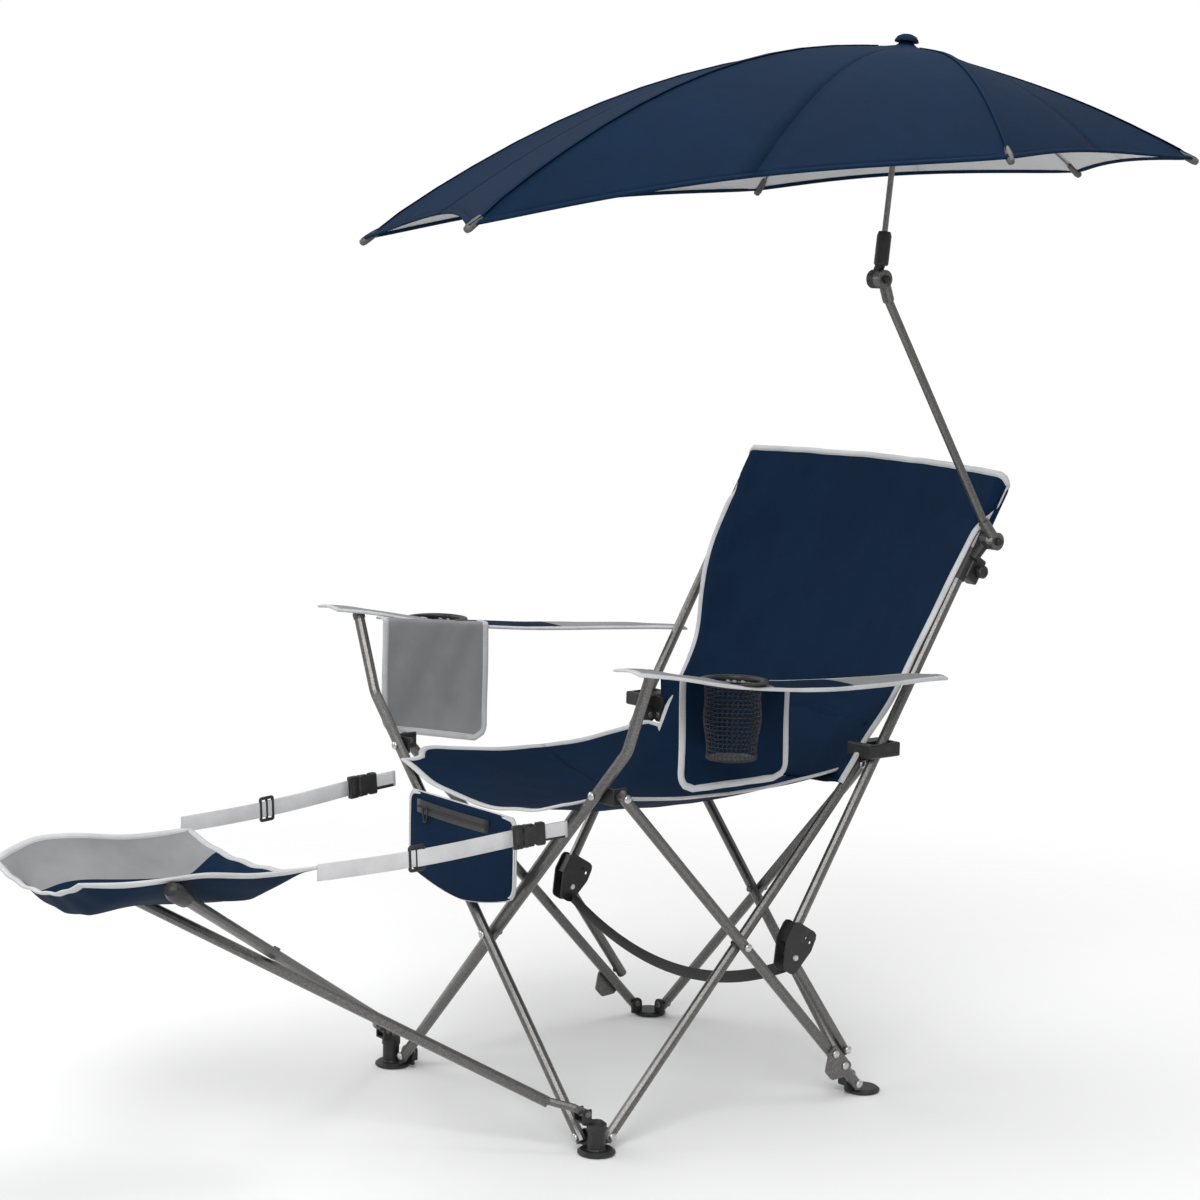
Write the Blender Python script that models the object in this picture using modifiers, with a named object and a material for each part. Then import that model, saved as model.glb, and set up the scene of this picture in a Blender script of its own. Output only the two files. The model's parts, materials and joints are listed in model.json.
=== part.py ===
"""Reclining camp chair with a footrest and a clamp-on canopy, built piece by piece.

Metres, +Z up. The chair faces -Y and +X is the sitter's left, where the canopy is clamped.
All places are worked out in chair coordinates, whose origin is on the floor between the feet.
A root empty then moves the whole chair so that the middle of its box stands on the origin.
"""
import math

import bmesh
import bpy
from mathutils import Matrix, Vector

# Frame tubes and the gap that touching pieces keep
TUBE_R = 0.008
GAP = 0.0003
END = 0.008                 # tube beyond its last rivet
RIVET_R = 0.0028
RIVET_HEAD_R = 0.0052
RIVET_HEAD_H = 0.0022
RIVET_SINK = 0.0007
RIVET_SIDES = 8
BORE_R = RIVET_R + GAP

# The four scissor pairs share one height and one angle, so they fold together
PAIR_HALF = 0.230           # half the distance between the two foot rivets of a pair, and the two top rivets
PIVOT_Z = 0.020
TOP_Z = 0.506
INNER = 0.2505              # plane of the inner tube of each pair, from the middle
OUTER = INNER + 2 * TUBE_R + GAP

# Feet
FOOT_X = 0.2545
FOOT_Y = 0.2555
DISC_R = 0.027
DISC_H = 0.0075
LUG_T = 0.004
LUG_R = 0.010
COLUMN_R = 0.0128
COLUMN_TOP = 0.034
COLUMN_IN = 0.002           # the swivel column stands this far outside the disc's middle

# Arm posts, the upper ends of the front tubes
BEND_RUN = 0.098
BEND_R = 0.045
ARM_X = 0.3434
ARM_Z = 0.6885

# Corner links
LINK_R = 0.012

# Back posts, their guides, knee brackets and struts
POST_PLANE = OUTER
POST_TILT = math.radians(31)
POST_CAP_R = TUBE_R + 0.002
POST_SPLAY = math.tan(math.radians(1.0))
POST_TOP_RUN = 0.436        # along the post, from its guide to its tip
KNEE_RUN = 0.333            # along the post, from its guide down to the knee rivet
KNEE_OFFSET = 0.014         # the knee rivet lies this far behind the post's axis
BRACKET_HALF = TUBE_R + 0.0011   # inside half width of a knee bracket
BRACKET_T = 0.0024
POST_END = 0.024            # the post stops this far above the knee rivet
GUIDE_Y = PAIR_HALF + 0.0185
GUIDE_Z = TOP_Z + 0.0225
GUIDE_H = 0.021
SLOT_FRONT = 0.0225         # the slot that lets the post tilt, forward and back of the post
SLOT_BACK = 0.0220
SLOT_SPARE = 0.0024         # spare width beside the splayed post, which shifts sideways as it slides
GUIDE_END = 0.009
GUIDE_WALL = 0.005
STRUT_ALONG = 0.062         # the strut's lower rivet, along the rear leg from its foot rivet
STRUT_OFF = 0.0196          # and beside it
KNEE_SLOT = 0.0125          # the knee rivet slides this far down the strut as the back is raised
KNEE_SLOT_SPARE = 0.0012    # and the slot is this much wider each side than a plain bore
LEG_PLATE_T = 0.0025

# Footrest
LEG_FOOT = Vector((0.248, -0.276, 0.0615))
LEG_TIP = Vector((-0.186, -0.899, 0.441))
LEG_CAP_R = 0.0115
LEG_CAP_L = 0.048
SLING_T = 0.0024
STRAP_W = 0.023
STRAP_T = 0.0018

# Canopy and its arm
UMB_X = 0.3045
KNUCKLE_LOW = Vector((UMB_X, 0.438, 0.833))
KNUCKLE_UP = Vector((UMB_X, 0.187, 1.222))
CROWN = Vector((0.301, 0.2283, 1.557))
CANOPY_YAW = math.radians(-17)
ARM_TUBE_R = 0.0065
SHAFT_R = 0.0042
SLEEVE_R = 0.0105
HUB_R = 0.0135
HUB_W = 0.013
RIB_R = 0.0016
RIB_SHARES = (0, 0.11, 0.22, 0.38, 0.54, 0.66, 0.78, 0.9, 1)
RIB_START = 0.0135          # rib hinge, from the shaft's axis
RIB_START_DROP = 0.012
RIB_PITCH = math.radians(10)
STRETCHER = 0.100
FABRIC_T = 0.0016
CANOPY_LIFT = 0.0033        # underside of the fabric above a rib's middle
# Rib tips from the crown: forward, to the side and down
RIB_TIPS = {
    "front_right": (0.696, -0.231, 0.369),
    "front_left": (0.696, 0.231, 0.369),
    "side_left": (0.029, 0.392, 0.197),
    "rear_left": (-0.394, 0.159, 0.123),
    "rear_right": (-0.394, -0.159, 0.123),
    "side_right": (0.029, -0.392, 0.197),
}

# The middle of the whole chair's box, in chair coordinates
BOX_MIDDLE = Vector((0.131, -0.1735, 0.0))

X = Vector((1, 0, 0))
Y = Vector((0, 1, 0))
Z = Vector((0, 0, 1))

STEEL = ((0.11, 0.11, 0.115), 0.35, 0.85)
PLASTIC = ((0.02, 0.02, 0.022), 0.45, 0.0)
NAVY = ((0.012, 0.028, 0.062), 0.85, 0.0)
GREY = ((0.25, 0.25, 0.26), 0.85, 0.0)
WEBBING = ((0.55, 0.55, 0.56), 0.8, 0.0)
BRIGHT = ((0.75, 0.75, 0.75), 0.3, 0.9)


def clear_scene():
    for obj in list(bpy.data.objects):
        bpy.data.objects.remove(obj, do_unlink=True)


def collection(name):
    found = bpy.data.collections.new(name)
    bpy.context.scene.collection.children.link(found)
    return found


clear_scene()
PARTS = collection("umbrella_recliner_chair")
ROOT = bpy.data.objects.new("chair_origin", None)
PARTS.objects.link(ROOT)
ROOT.location = -BOX_MIDDLE


def material(name, look):
    colour, roughness, metallic = look
    made = bpy.data.materials.new(name + "_material")
    made.use_nodes = True
    shader = made.node_tree.nodes["Principled BSDF"]
    shader.inputs["Base Color"].default_value = (*colour, 1)
    shader.inputs["Roughness"].default_value = roughness
    shader.inputs["Metallic"].default_value = metallic
    return made


def shape_from(bm):
    """A loose object with the mesh of bm, in chair coordinates."""
    bmesh.ops.remove_doubles(bm, verts=bm.verts, dist=0.00001)
    bmesh.ops.recalc_face_normals(bm, faces=bm.faces)
    mesh = bpy.data.meshes.new("shape")
    bm.to_mesh(mesh)
    bm.free()
    obj = bpy.data.objects.new("shape", mesh)
    PARTS.objects.link(obj)
    return obj


def evaluated(obj):
    """Replaces obj's mesh, or the curve that it is, with what its modifiers make."""
    bpy.context.view_layer.update()
    graph = bpy.context.evaluated_depsgraph_get()
    mesh = bpy.data.meshes.new_from_object(obj.evaluated_get(graph))
    mesh.transform(obj.matrix_world)
    bm = bmesh.new()
    bm.from_mesh(mesh)
    bpy.data.objects.remove(obj, do_unlink=True)
    return shape_from(bm)


def rod(start, end, radius, sides=16, end_radius=None):
    """A straight cylinder or cone between two points."""
    start, end = Vector(start), Vector(end)
    turn = Z.rotation_difference(end - start).to_matrix().to_4x4()
    bm = bmesh.new()
    bmesh.ops.create_cone(
        bm, cap_ends=True, segments=sides, radius1=radius,
        radius2=radius if end_radius is None else end_radius, depth=(end - start).length,
        matrix=Matrix.Translation((start + end) / 2) @ turn,
    )
    return shape_from(bm)


def block(low, high, bevel=0.0):
    """A box between two corners, with its edges rounded by one step."""
    low, high = Vector(low), Vector(high)
    bm = bmesh.new()
    size = high - low
    bmesh.ops.create_cube(bm, size=1, matrix=Matrix.Translation((low + high) / 2) @ Matrix.Diagonal((*size, 1)))
    if bevel:
        bmesh.ops.bevel(bm, geom=bm.edges[:], offset=bevel, segments=1, affect="EDGES")
    return shape_from(bm)


def turned(profile, base, direction, sides=24):
    """A turned solid: profile holds (radius, height) pairs from one end on the axis to the other."""
    bm = bmesh.new()
    verts = [bm.verts.new((radius, 0, height)) for radius, height in profile]
    edges = [bm.edges.new(pair) for pair in zip(verts, verts[1:])]
    bmesh.ops.spin(
        bm, geom=verts + edges, cent=(0, 0, 0), axis=(0, 0, 1), angle=2 * math.pi, steps=sides
    )
    turn = Z.rotation_difference(Vector(direction)).to_matrix().to_4x4()
    bmesh.ops.transform(bm, matrix=Matrix.Translation(base) @ turn, verts=bm.verts)
    return shape_from(bm)


def tube(points, radius, resolution=3):
    """A round tube along points."""
    curve = bpy.data.curves.new("path", "CURVE")
    curve.dimensions = "3D"
    curve.bevel_depth = radius
    curve.bevel_resolution = resolution
    curve.use_fill_caps = True
    spline = curve.splines.new("POLY")
    spline.points.add(len(points) - 1)
    for point, place in zip(spline.points, points):
        point.co = (*place, 1)
    obj = bpy.data.objects.new("path", curve)
    PARTS.objects.link(obj)
    return evaluated(obj)


def plate(outline, thickness, matrix):
    """A flat plate: outline in its own X and Y, centred on its plane, then set in place by matrix."""
    curve = bpy.data.curves.new("outline", "CURVE")
    curve.dimensions = "2D"
    curve.fill_mode = "BOTH"
    curve.extrude = thickness / 2
    spline = curve.splines.new("POLY")
    spline.points.add(len(outline) - 1)
    for point, place in zip(spline.points, outline):
        point.co = (place[0], place[1], 0, 1)
    spline.use_cyclic_u = True
    obj = bpy.data.objects.new("outline", curve)
    PARTS.objects.link(obj)
    obj.matrix_world = matrix
    return evaluated(obj)


def side_plane(x, y, z, turn=0.0):
    """Sets a plate's X along +Y and its Y along +Z, turned about X, at a point."""
    upright = Matrix(((0, 0, 1, 0), (1, 0, 0, 0), (0, 1, 0, 0), (0, 0, 0, 1)))
    return Matrix.Translation((x, y, z)) @ Matrix.Rotation(turn, 4, "X") @ upright


def combine(base, others, operation):
    """Joins the others to base, or cuts them out of it, with exact Booleans."""
    for other in others:
        modifier = base.modifiers.new("step", "BOOLEAN")
        modifier.operation = operation
        modifier.solver = "EXACT"
        modifier.object = other
        base = evaluated(base)
        bpy.data.objects.remove(other, do_unlink=True)
    return base


def fuse(base, *others):
    return combine(base, others, "UNION")


def cut(base, *others):
    return combine(base, others, "DIFFERENCE")


def rivet(outer, direction, length, sink=RIVET_SINK):
    """A rivet whose first head sits at outer and which runs length along direction to its second head.

    The first head is sunk a little into the face that it sits on, so that the two join, or not at
    all where that face is another piece.
    """
    head = RIVET_HEAD_H
    profile = [(0, -head), (RIVET_HEAD_R * 0.8, -head), (RIVET_HEAD_R, sink)]
    profile += [(RIVET_R, sink), (RIVET_R, length), (RIVET_HEAD_R, length)]
    profile += [(RIVET_HEAD_R * 0.8, length + head), (0, length + head)]
    return turned(profile, outer, direction, RIVET_SIDES)


def bore(middle, direction, depth=0.04, radius=BORE_R, sides=8):
    direction = Vector(direction).normalized()
    middle = Vector(middle)
    return rod(middle - direction * depth / 2, middle + direction * depth / 2, radius, sides)


def finish(obj, name, look, pivot, parent=ROOT, angle=35):
    """Names a piece, gives it its material and puts its origin on its joint's axis."""
    obj.name = name
    obj.data.name = name
    obj.data.materials.clear()
    obj.data.materials.append(material(name, look))
    obj.data.transform(Matrix.Translation(-Vector(pivot)))
    obj.location = pivot
    obj.parent = parent
    obj.data.shade_smooth()
    obj.data.set_sharp_from_angle(angle=math.radians(angle))
    return obj


def mirrored(points):
    return [Vector((-p[0], p[1], p[2])) for p in points]


def rounded_path(corners, radius, steps=5):
    """The corner points joined by straight runs, with each inner corner turned on an arc."""
    corners = [Vector(c) for c in corners]
    path = [corners[0]]
    for before, corner, after in zip(corners, corners[1:], corners[2:]):
        back = (before - corner).normalized()
        on = (after - corner).normalized()
        half = back.angle(on) / 2
        reach = radius / math.tan(half)
        middle = corner + (back + on).normalized() * radius / math.sin(half)
        first = corner + back * reach - middle
        last = corner + on * reach - middle
        turn = first.angle(last)
        axis = first.cross(last).normalized()
        for step in range(steps + 1):
            path.append(middle + Matrix.Rotation(turn * step / steps, 3, axis) @ first)
    path.append(corners[-1])
    return path


def rounded_outline(corners, radius, steps=4):
    """A closed flat outline with each corner rounded."""
    flat = [Vector((c[0], c[1], 0)) for c in corners]
    ring = [flat[-1]] + flat + [flat[0]]
    points = []
    for before, corner, after in zip(ring, ring[1:], ring[2:]):
        arc = rounded_path([before, corner, after], radius, steps)[1:-1]
        points += [(p.x, p.y) for p in arc]
    return points


def scissor_line(axis, plane, foot_side):
    """Foot rivet, crossing and top rivet of one scissor tube.

    axis is X for a front or rear pair and Y for a side pair, plane is where the tube lies on the
    other axis, and foot_side is +1 or -1 for the end of the pair that its foot is at.
    """
    def place(along, height):
        if axis == "X":
            return Vector((along, plane, height))
        return Vector((plane, along, height))

    foot = place(foot_side * PAIR_HALF, PIVOT_Z)
    top = place(-foot_side * PAIR_HALF, TOP_Z)
    crossing = foot.lerp(top, 0.5)
    return foot, crossing, top


def lug(point, axis, plane_side, thickness=LUG_T, radius=LUG_R, foot=None):
    """A lug plate beside a tube, on its plane_side, with a leg down to foot height when given."""
    centre = Vector(point) + axis * plane_side * (TUBE_R + GAP + thickness / 2)
    half = axis * thickness / 2
    made = rod(centre - half, centre + half, radius, 16)
    if foot is not None:
        across = Z.cross(axis)
        corner_a = centre - half - across * radius
        corner_b = centre + half + across * radius
        low = Vector(map(min, corner_a, corner_b))
        high = Vector(map(max, corner_a, corner_b))
        low.z = foot
        high.z = centre.z
        made = fuse(made, block(low, high))
    return made


def tube_rivet(point, axis, inward):
    """The rivet of a tube and the lug inside it: head on the tube's outer side, tail behind the lug."""
    outer = Vector(point) - axis * inward * TUBE_R
    return rivet(outer, axis * inward, 2 * TUBE_R + 2 * GAP + LUG_T)


def crossing_rivet(point, axis, inward):
    """The rivet of two crossing tubes, carried by the outer one."""
    outer = Vector(point) - axis * inward * TUBE_R
    return rivet(outer, axis * inward, 4 * TUBE_R + 2 * GAP)


def make_foot(name, side, front):
    """A foot: tread disc, a lug for each of its two tubes and, in front, the footrest's column."""
    y_side = -1 if front else 1
    middle = Vector((side * FOOT_X, y_side * FOOT_Y, 0))
    profile = [
        (0, 0), (DISC_R - 0.002, 0), (DISC_R, 0.002), (DISC_R, DISC_H - 0.003),
        (DISC_R - 0.004, DISC_H), (0, DISC_H),
    ]
    foot = turned(profile, middle, Z, 24)
    outer_pair = (side > 0) == front
    cross_plane = y_side * (OUTER if outer_pair else INNER)
    side_plane_x = side * (INNER if front else OUTER)
    cross_point = Vector((side * PAIR_HALF, cross_plane, PIVOT_Z))
    side_point = Vector((side_plane_x, y_side * PAIR_HALF, PIVOT_Z))
    foot = fuse(foot, lug(cross_point, Y, -y_side, foot=DISC_H - 0.002))
    foot = fuse(foot, lug(side_point, X, -side, foot=DISC_H - 0.002))
    if front:
        base = middle + Vector((side * COLUMN_IN, y_side * COLUMN_IN, DISC_H - 0.002))
        height = COLUMN_TOP - base.z
        column = turned(
            [(0, 0), (COLUMN_R + 0.002, 0), (COLUMN_R, 0.004), (COLUMN_R, height), (0, height)],
            base, Z, 16,
        )
        foot = fuse(foot, column)
    foot = cut(foot, bore(cross_point, Y, 0.06), bore(side_point, X, 0.06))
    return finish(foot, name, PLASTIC, middle)


def make_front_tube(name, foot_side, plane):
    """A front scissor tube that runs from its foot to the far corner and on as an arm post."""
    foot, crossing, top = scissor_line("X", plane, foot_side)
    along = (top - foot).normalized()
    bend = top + along * BEND_RUN
    tip = Vector((-foot_side * ARM_X, plane, ARM_Z))
    body = tube(rounded_path([foot - along * END, bend, tip], BEND_R), TUBE_R)
    cap_profile = [(0, -0.003), (TUBE_R + 0.0015, -0.003), (TUBE_R + 0.0015, 0.004), (TUBE_R, 0.007), (0, 0.007)]
    body = fuse(body, turned(cap_profile, tip, (tip - bend), 16))
    if abs(plane) > INNER + GAP:
        body = fuse(body, crossing_rivet(crossing, Y, 1))
    else:
        body = cut(body, bore(crossing, Y))
    body = fuse(body, tube_rivet(foot, Y, 1), tube_rivet(top, Y, 1))
    return finish(body, name, STEEL, foot if foot_side > 0 else crossing)


def make_side_tube(name, side, foot_side):
    """A side scissor tube; the outer one starts at the rear foot and carries the strut's plates."""
    outer = foot_side > 0
    plane = side * (OUTER if outer else INNER)
    foot, crossing, top = scissor_line("Y", plane, foot_side)
    along = (top - foot).normalized()
    body = tube([foot - along * END, top + along * END], TUBE_R)
    if outer:
        body = fuse(body, crossing_rivet(crossing, X, -side))
    else:
        body = cut(body, bore(crossing, X))
    body = fuse(body, tube_rivet(foot, X, -side), tube_rivet(top, X, -side))
    if outer:
        body = fuse(body, leg_plate(side, foot, along))
    return finish(body, name, STEEL, foot if not outer else crossing)


def strut_pivot(side):
    """Lower rivet of the strut, beside the rear leg."""
    foot, _, top = scissor_line("Y", side * OUTER, 1)
    along = (top - foot).normalized()
    beside = Vector((0, along.z, -along.y))
    point = foot + along * STRUT_ALONG + beside * STRUT_OFF
    point.x = side * POST_PLANE
    return point


def leg_plate(side, foot, along):
    """The three-rivet plate on the rear leg, with its rivets, that the strut turns on."""
    pivot = strut_pivot(side)
    outer_face = POST_PLANE + TUBE_R + GAP
    turn = math.atan2(along.z, along.y) - math.pi
    corners = [(-0.026, -0.010), (0.026, -0.010), (0.026, 0.008), (0.010, 0.031), (-0.010, 0.031),
               (-0.026, 0.012)]
    outline = rounded_outline(corners, 0.006, 2)
    centre = foot + along * STRUT_ALONG
    flipped = [(-u, -v) for u, v in outline]
    place = side_plane(side * (outer_face + LEG_PLATE_T / 2), centre.y, centre.z, turn)
    made = plate(flipped, LEG_PLATE_T, place)
    seat = OUTER + TUBE_R - 0.001
    for shift in (-0.014, 0.015):
        spot = foot + along * (STRUT_ALONG + shift)
        start = Vector((side * (outer_face + LEG_PLATE_T), spot.y, spot.z))
        made = fuse(made, rod((side * seat, spot.y, spot.z), start, 0.0045, 12))
        head = start + X * side * RIVET_HEAD_H
        made = fuse(made, rod(start, head, RIVET_HEAD_R, 12, RIVET_HEAD_R * 0.6))
    return cut(made, bore((side * outer_face, pivot.y, pivot.z), X, 0.02))


def make_rear_tube(name, foot_side, plane):
    foot, crossing, top = scissor_line("X", plane, foot_side)
    along = (top - foot).normalized()
    body = tube([foot - along * END, top + along * END], TUBE_R)
    if plane > INNER + GAP:
        body = fuse(body, crossing_rivet(crossing, Y, -1))
    else:
        body = cut(body, bore(crossing, Y))
    body = fuse(body, tube_rivet(foot, Y, -1), tube_rivet(top, Y, -1))
    return finish(body, name, STEEL, foot if foot_side > 0 else crossing)


def make_corner_link(name, side):
    """The moulded elbow that joins an arm post to the side tube at a front corner."""
    front_plane = INNER if side > 0 else OUTER
    face_y = -(front_plane - TUBE_R - GAP)
    face_x = OUTER - TUBE_R - GAP
    low_z, high_z = TOP_Z - LINK_R, TOP_Z + LINK_R
    arm = block(
        (min(side * (PAIR_HALF - LINK_R), side * face_x), face_y, low_z),
        (max(side * (PAIR_HALF - LINK_R), side * face_x), face_y + LUG_T, high_z), 0.001,
    )
    cheek = block(
        (min(side * face_x, side * (face_x - LUG_T)), face_y, low_z),
        (max(side * face_x, side * (face_x - LUG_T)), -PAIR_HALF + LINK_R, high_z), 0.001,
    )
    link = fuse(arm, cheek)
    front_point = Vector((side * PAIR_HALF, -front_plane, TOP_Z))
    side_point = Vector((side * OUTER, -PAIR_HALF, TOP_Z))
    link = cut(link, bore(front_point, Y, 0.06), bore(side_point, X, 0.06))
    return finish(link, name, PLASTIC, front_point)


def post_axis(side=0):
    """Direction of a back post, from its knee up to its tip; side 0 leaves its splay out."""
    return Vector((side * POST_SPLAY, math.sin(POST_TILT), math.cos(POST_TILT))).normalized()


def knee_point(side):
    """The rivet that the strut turns on in the knee bracket."""
    behind = Vector((0, math.cos(POST_TILT), -math.sin(POST_TILT)))
    spot = Vector((0, GUIDE_Y, GUIDE_Z)) - post_axis() * KNEE_RUN + behind * KNEE_OFFSET
    spot.x = side * POST_PLANE
    return spot


def post_point(side, run):
    """A point on a back post's axis, run metres along it from beside the knee rivet."""
    behind = Vector((0, math.cos(POST_TILT), -math.sin(POST_TILT)))
    return knee_point(side) - behind * KNEE_OFFSET + post_axis(side) * run


def make_guide(name, side):
    """The rear corner guide: lugs for the side and rear tubes and a slot that the post slides in."""
    rear_plane = OUTER if side > 0 else INNER
    side_point = Vector((side * INNER, PAIR_HALF, TOP_Z))
    rear_point = Vector((side * PAIR_HALF, rear_plane, TOP_Z))
    post = post_point(side, KNEE_RUN)
    top_z = GUIDE_Z + GUIDE_H / 2
    low_z = GUIDE_Z - GUIDE_H / 2
    inner_face = INNER - TUBE_R - GAP - LUG_T
    block_x = inner_face - 0.001
    front_y = GUIDE_Y - SLOT_FRONT
    back_y = GUIDE_Y + SLOT_BACK
    outer_x = abs(post.x) + TUBE_R + SLOT_SPARE + GUIDE_WALL
    made = block(
        (min(side * block_x, side * outer_x), front_y - GUIDE_END, low_z),
        (max(side * block_x, side * outer_x), back_y + GUIDE_END, top_z), 0.002,
    )
    side_lug = lug(side_point, X, -side, radius=LINK_R - 0.0007)
    riser_x = sorted((side * (inner_face + GAP), side * (inner_face + LUG_T - GAP)))
    riser = block((riser_x[0], PAIR_HALF - LINK_R + 0.001, TOP_Z), (riser_x[1], PAIR_HALF + LINK_R - 0.001, low_z + 0.004))
    made = fuse(made, fuse(side_lug, riser))
    face_y = rear_plane - TUBE_R - GAP
    plate_x = sorted((side * (PAIR_HALF - LINK_R + 0.001), side * (inner_face + LUG_T - GAP)))
    rear_lug = lug(rear_point, Y, -1, radius=LINK_R - 0.0007)
    riser = block((plate_x[0], face_y - LUG_T + GAP, TOP_Z), (plate_x[1], face_y - GAP, top_z - 0.003))
    made = fuse(made, fuse(rear_lug, riser))
    slot_low = (post.x - TUBE_R - SLOT_SPARE, front_y, low_z - 0.01)
    slot_high = (post.x + TUBE_R + SLOT_SPARE, back_y, top_z + 0.01)
    made = cut(made, block(slot_low, slot_high, 0.003))
    made = cut(made, bore(side_point, X, 0.06), bore(rear_point, Y, 0.06))
    return finish(made, name, PLASTIC, side_point)


def make_back_post(name, side):
    start = post_point(side, POST_END)
    tip = post_point(side, KNEE_RUN + POST_TOP_RUN)
    body = tube([start, tip], TUBE_R)
    cap = [(0, -0.003), (POST_CAP_R, -0.003), (POST_CAP_R, 0.005), (TUBE_R - 0.002, 0.010), (0, 0.011)]
    body = fuse(body, turned(cap, tip, tip - start, 16))
    return finish(body, name, STEEL, knee_point(side))


def make_knee_bracket(name, side):
    """Two cheeks and a front wall round the knee, with the row of lock holes above the rivet."""
    knee = knee_point(side)
    lean = -POST_TILT
    corners = [(-0.012, -0.024), (0.012, -0.024), (0.024, 0.020), (0.022, 0.048), (-0.030, 0.048),
               (-0.030, 0.016)]
    outline = rounded_outline(corners, 0.009, 2)
    gap_half = BRACKET_HALF
    cheek_t = BRACKET_T
    parts = []
    for way in (-1, 1):
        x = knee.x + way * (gap_half + cheek_t / 2)
        parts.append(plate(outline, cheek_t, side_plane(x, knee.y, knee.z, lean)))
    wall_corners = [(-0.0250, 0.014), (-0.0250, 0.044), (-0.0223, 0.044), (-0.0223, 0.014)]
    wall = plate(wall_corners, 2 * (gap_half + cheek_t / 2), side_plane(knee.x, knee.y, knee.z, lean))
    made = fuse(parts[0], wall, parts[1])
    turn = Matrix.Rotation(lean, 3, "X")
    for angle in (64, 84):
        reach = Vector((0, math.cos(math.radians(angle)), math.sin(math.radians(angle)))) * 0.034
        made = cut(made, bore(knee + turn @ reach, X, 0.05, 0.0028))
    made = cut(made, bore(knee, X, 0.05))
    return finish(made, name, PLASTIC, knee)


def make_strut(name, side):
    """The short strut from the rear leg up to the knee, with its lower rivet in the leg plate.

    Its knee end has a slot instead of a round hole.
    """
    low, knee = strut_pivot(side), knee_point(side)
    along = (knee - low).normalized()
    body = tube([low - along * END, knee + along * END], TUBE_R)
    outer = low + X * side * (TUBE_R + GAP + LEG_PLATE_T + GAP)
    body = fuse(body, rod(low, outer, RIVET_R, 8))
    body = fuse(body, rod(outer, outer + X * side * RIVET_HEAD_H, RIVET_HEAD_R, 8, RIVET_HEAD_R * 0.8))
    wide = BORE_R + KNEE_SLOT_SPARE
    ends = (-BORE_R - KNEE_SLOT, BORE_R)
    outline = rounded_outline([(ends[0], -wide), (ends[1], -wide), (ends[1], wide), (ends[0], wide)], wide * 0.7, 3)
    slot_place = side_plane(knee.x, knee.y, knee.z, math.atan2(along.z, along.y))
    body = cut(body, plate(outline, 4 * TUBE_R, slot_place))
    return finish(body, name, STEEL, low)


def make_knee_rivet(name, side):
    """The rivet through both cheeks of the knee bracket and the strut between them."""
    reach = BRACKET_HALF + BRACKET_T + GAP
    knee = knee_point(side)
    return finish(rivet(knee - X * reach, X, 2 * reach, 0), name, BRIGHT, knee)


def ribbon(points, width, thickness, up=Z):
    """A flat strap through points, standing on edge along up, made as a swept strip with Solidify."""
    bm = bmesh.new()
    rows = []
    for place in points:
        place = Vector(place)
        rows.append([bm.verts.new(place - up * width / 2), bm.verts.new(place + up * width / 2)])
    for one, two in zip(rows, rows[1:]):
        bm.faces.new((one[0], two[0], two[1], one[1]))
    obj = shape_from(bm)
    thick = obj.modifiers.new("thickness", "SOLIDIFY")
    thick.thickness = thickness
    thick.offset = 0
    return evaluated(obj)


def sheet(rows, thickness):
    """A sheet from rows of points, thickened about its middle."""
    bm = bmesh.new()
    grid = [[bm.verts.new(p) for p in row] for row in rows]
    for one, two in zip(grid, grid[1:]):
        for k in range(len(one) - 1):
            bm.faces.new((one[k], two[k], two[k + 1], one[k + 1]))
    obj = shape_from(bm)
    thick = obj.modifiers.new("thickness", "SOLIDIFY")
    thick.thickness = thickness
    thick.offset = 0
    return evaluated(obj)


def make_recline_strap():
    """The pull strap between the two knee brackets, sagging between them."""
    left, right = knee_point(1), knee_point(-1)
    reach = left.x - BRACKET_HALF - BRACKET_T - GAP
    steps = 12
    points = []
    for k in range(steps + 1):
        share = -1 + 2 * k / steps
        drop = 0.060 * (1 - share * share)
        points.append((share * reach, left.y + 0.001, left.z - 0.0175 - drop))
    strap = ribbon(points, 0.018, 0.0016)
    return finish(strap, "recline_strap", PLASTIC, left.lerp(right, 0.5))


def leg_normal():
    """Unit normal of the plane that the two footrest legs lie in, pointing up."""
    along = Vector((0, LEG_TIP.y - LEG_FOOT.y, LEG_TIP.z - LEG_FOOT.z))
    return X.cross(along).normalized() * -1


def make_swivel(name, side):
    """The cap that turns on a front foot's column and holds the footrest leg in its fork."""
    base = Vector((side * (FOOT_X + COLUMN_IN), -FOOT_Y - COLUMN_IN, COLUMN_TOP + GAP))
    cap = turned(
        [(0, 0), (COLUMN_R + 0.0015, 0), (COLUMN_R + 0.0015, 0.010), (COLUMN_R - 0.004, 0.014), (0, 0.014)],
        base, Z, 16,
    )
    pin = Vector((side * LEG_FOOT.x, LEG_FOOT.y, LEG_FOOT.z))
    neck = rod(base + Z * 0.010, pin - Z * 0.0135 + Y * 0.001, 0.0055, 12)
    wide = TUBE_R + GAP + 0.003
    fork = block(pin - Vector((wide, 0.008, 0.0135)), pin + Vector((wide, 0.008, 0.006)), 0.001)
    cap = fuse(cap, neck, fork)
    slot = block(pin - Vector((TUBE_R + GAP, 0.02, 0.0100)), pin + Vector((TUBE_R + GAP, 0.02, 0.02)))
    cap = cut(cap, slot)
    cap = cut(cap, bore(pin, X, 0.05))
    return finish(cap, name, PLASTIC, base)


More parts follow.
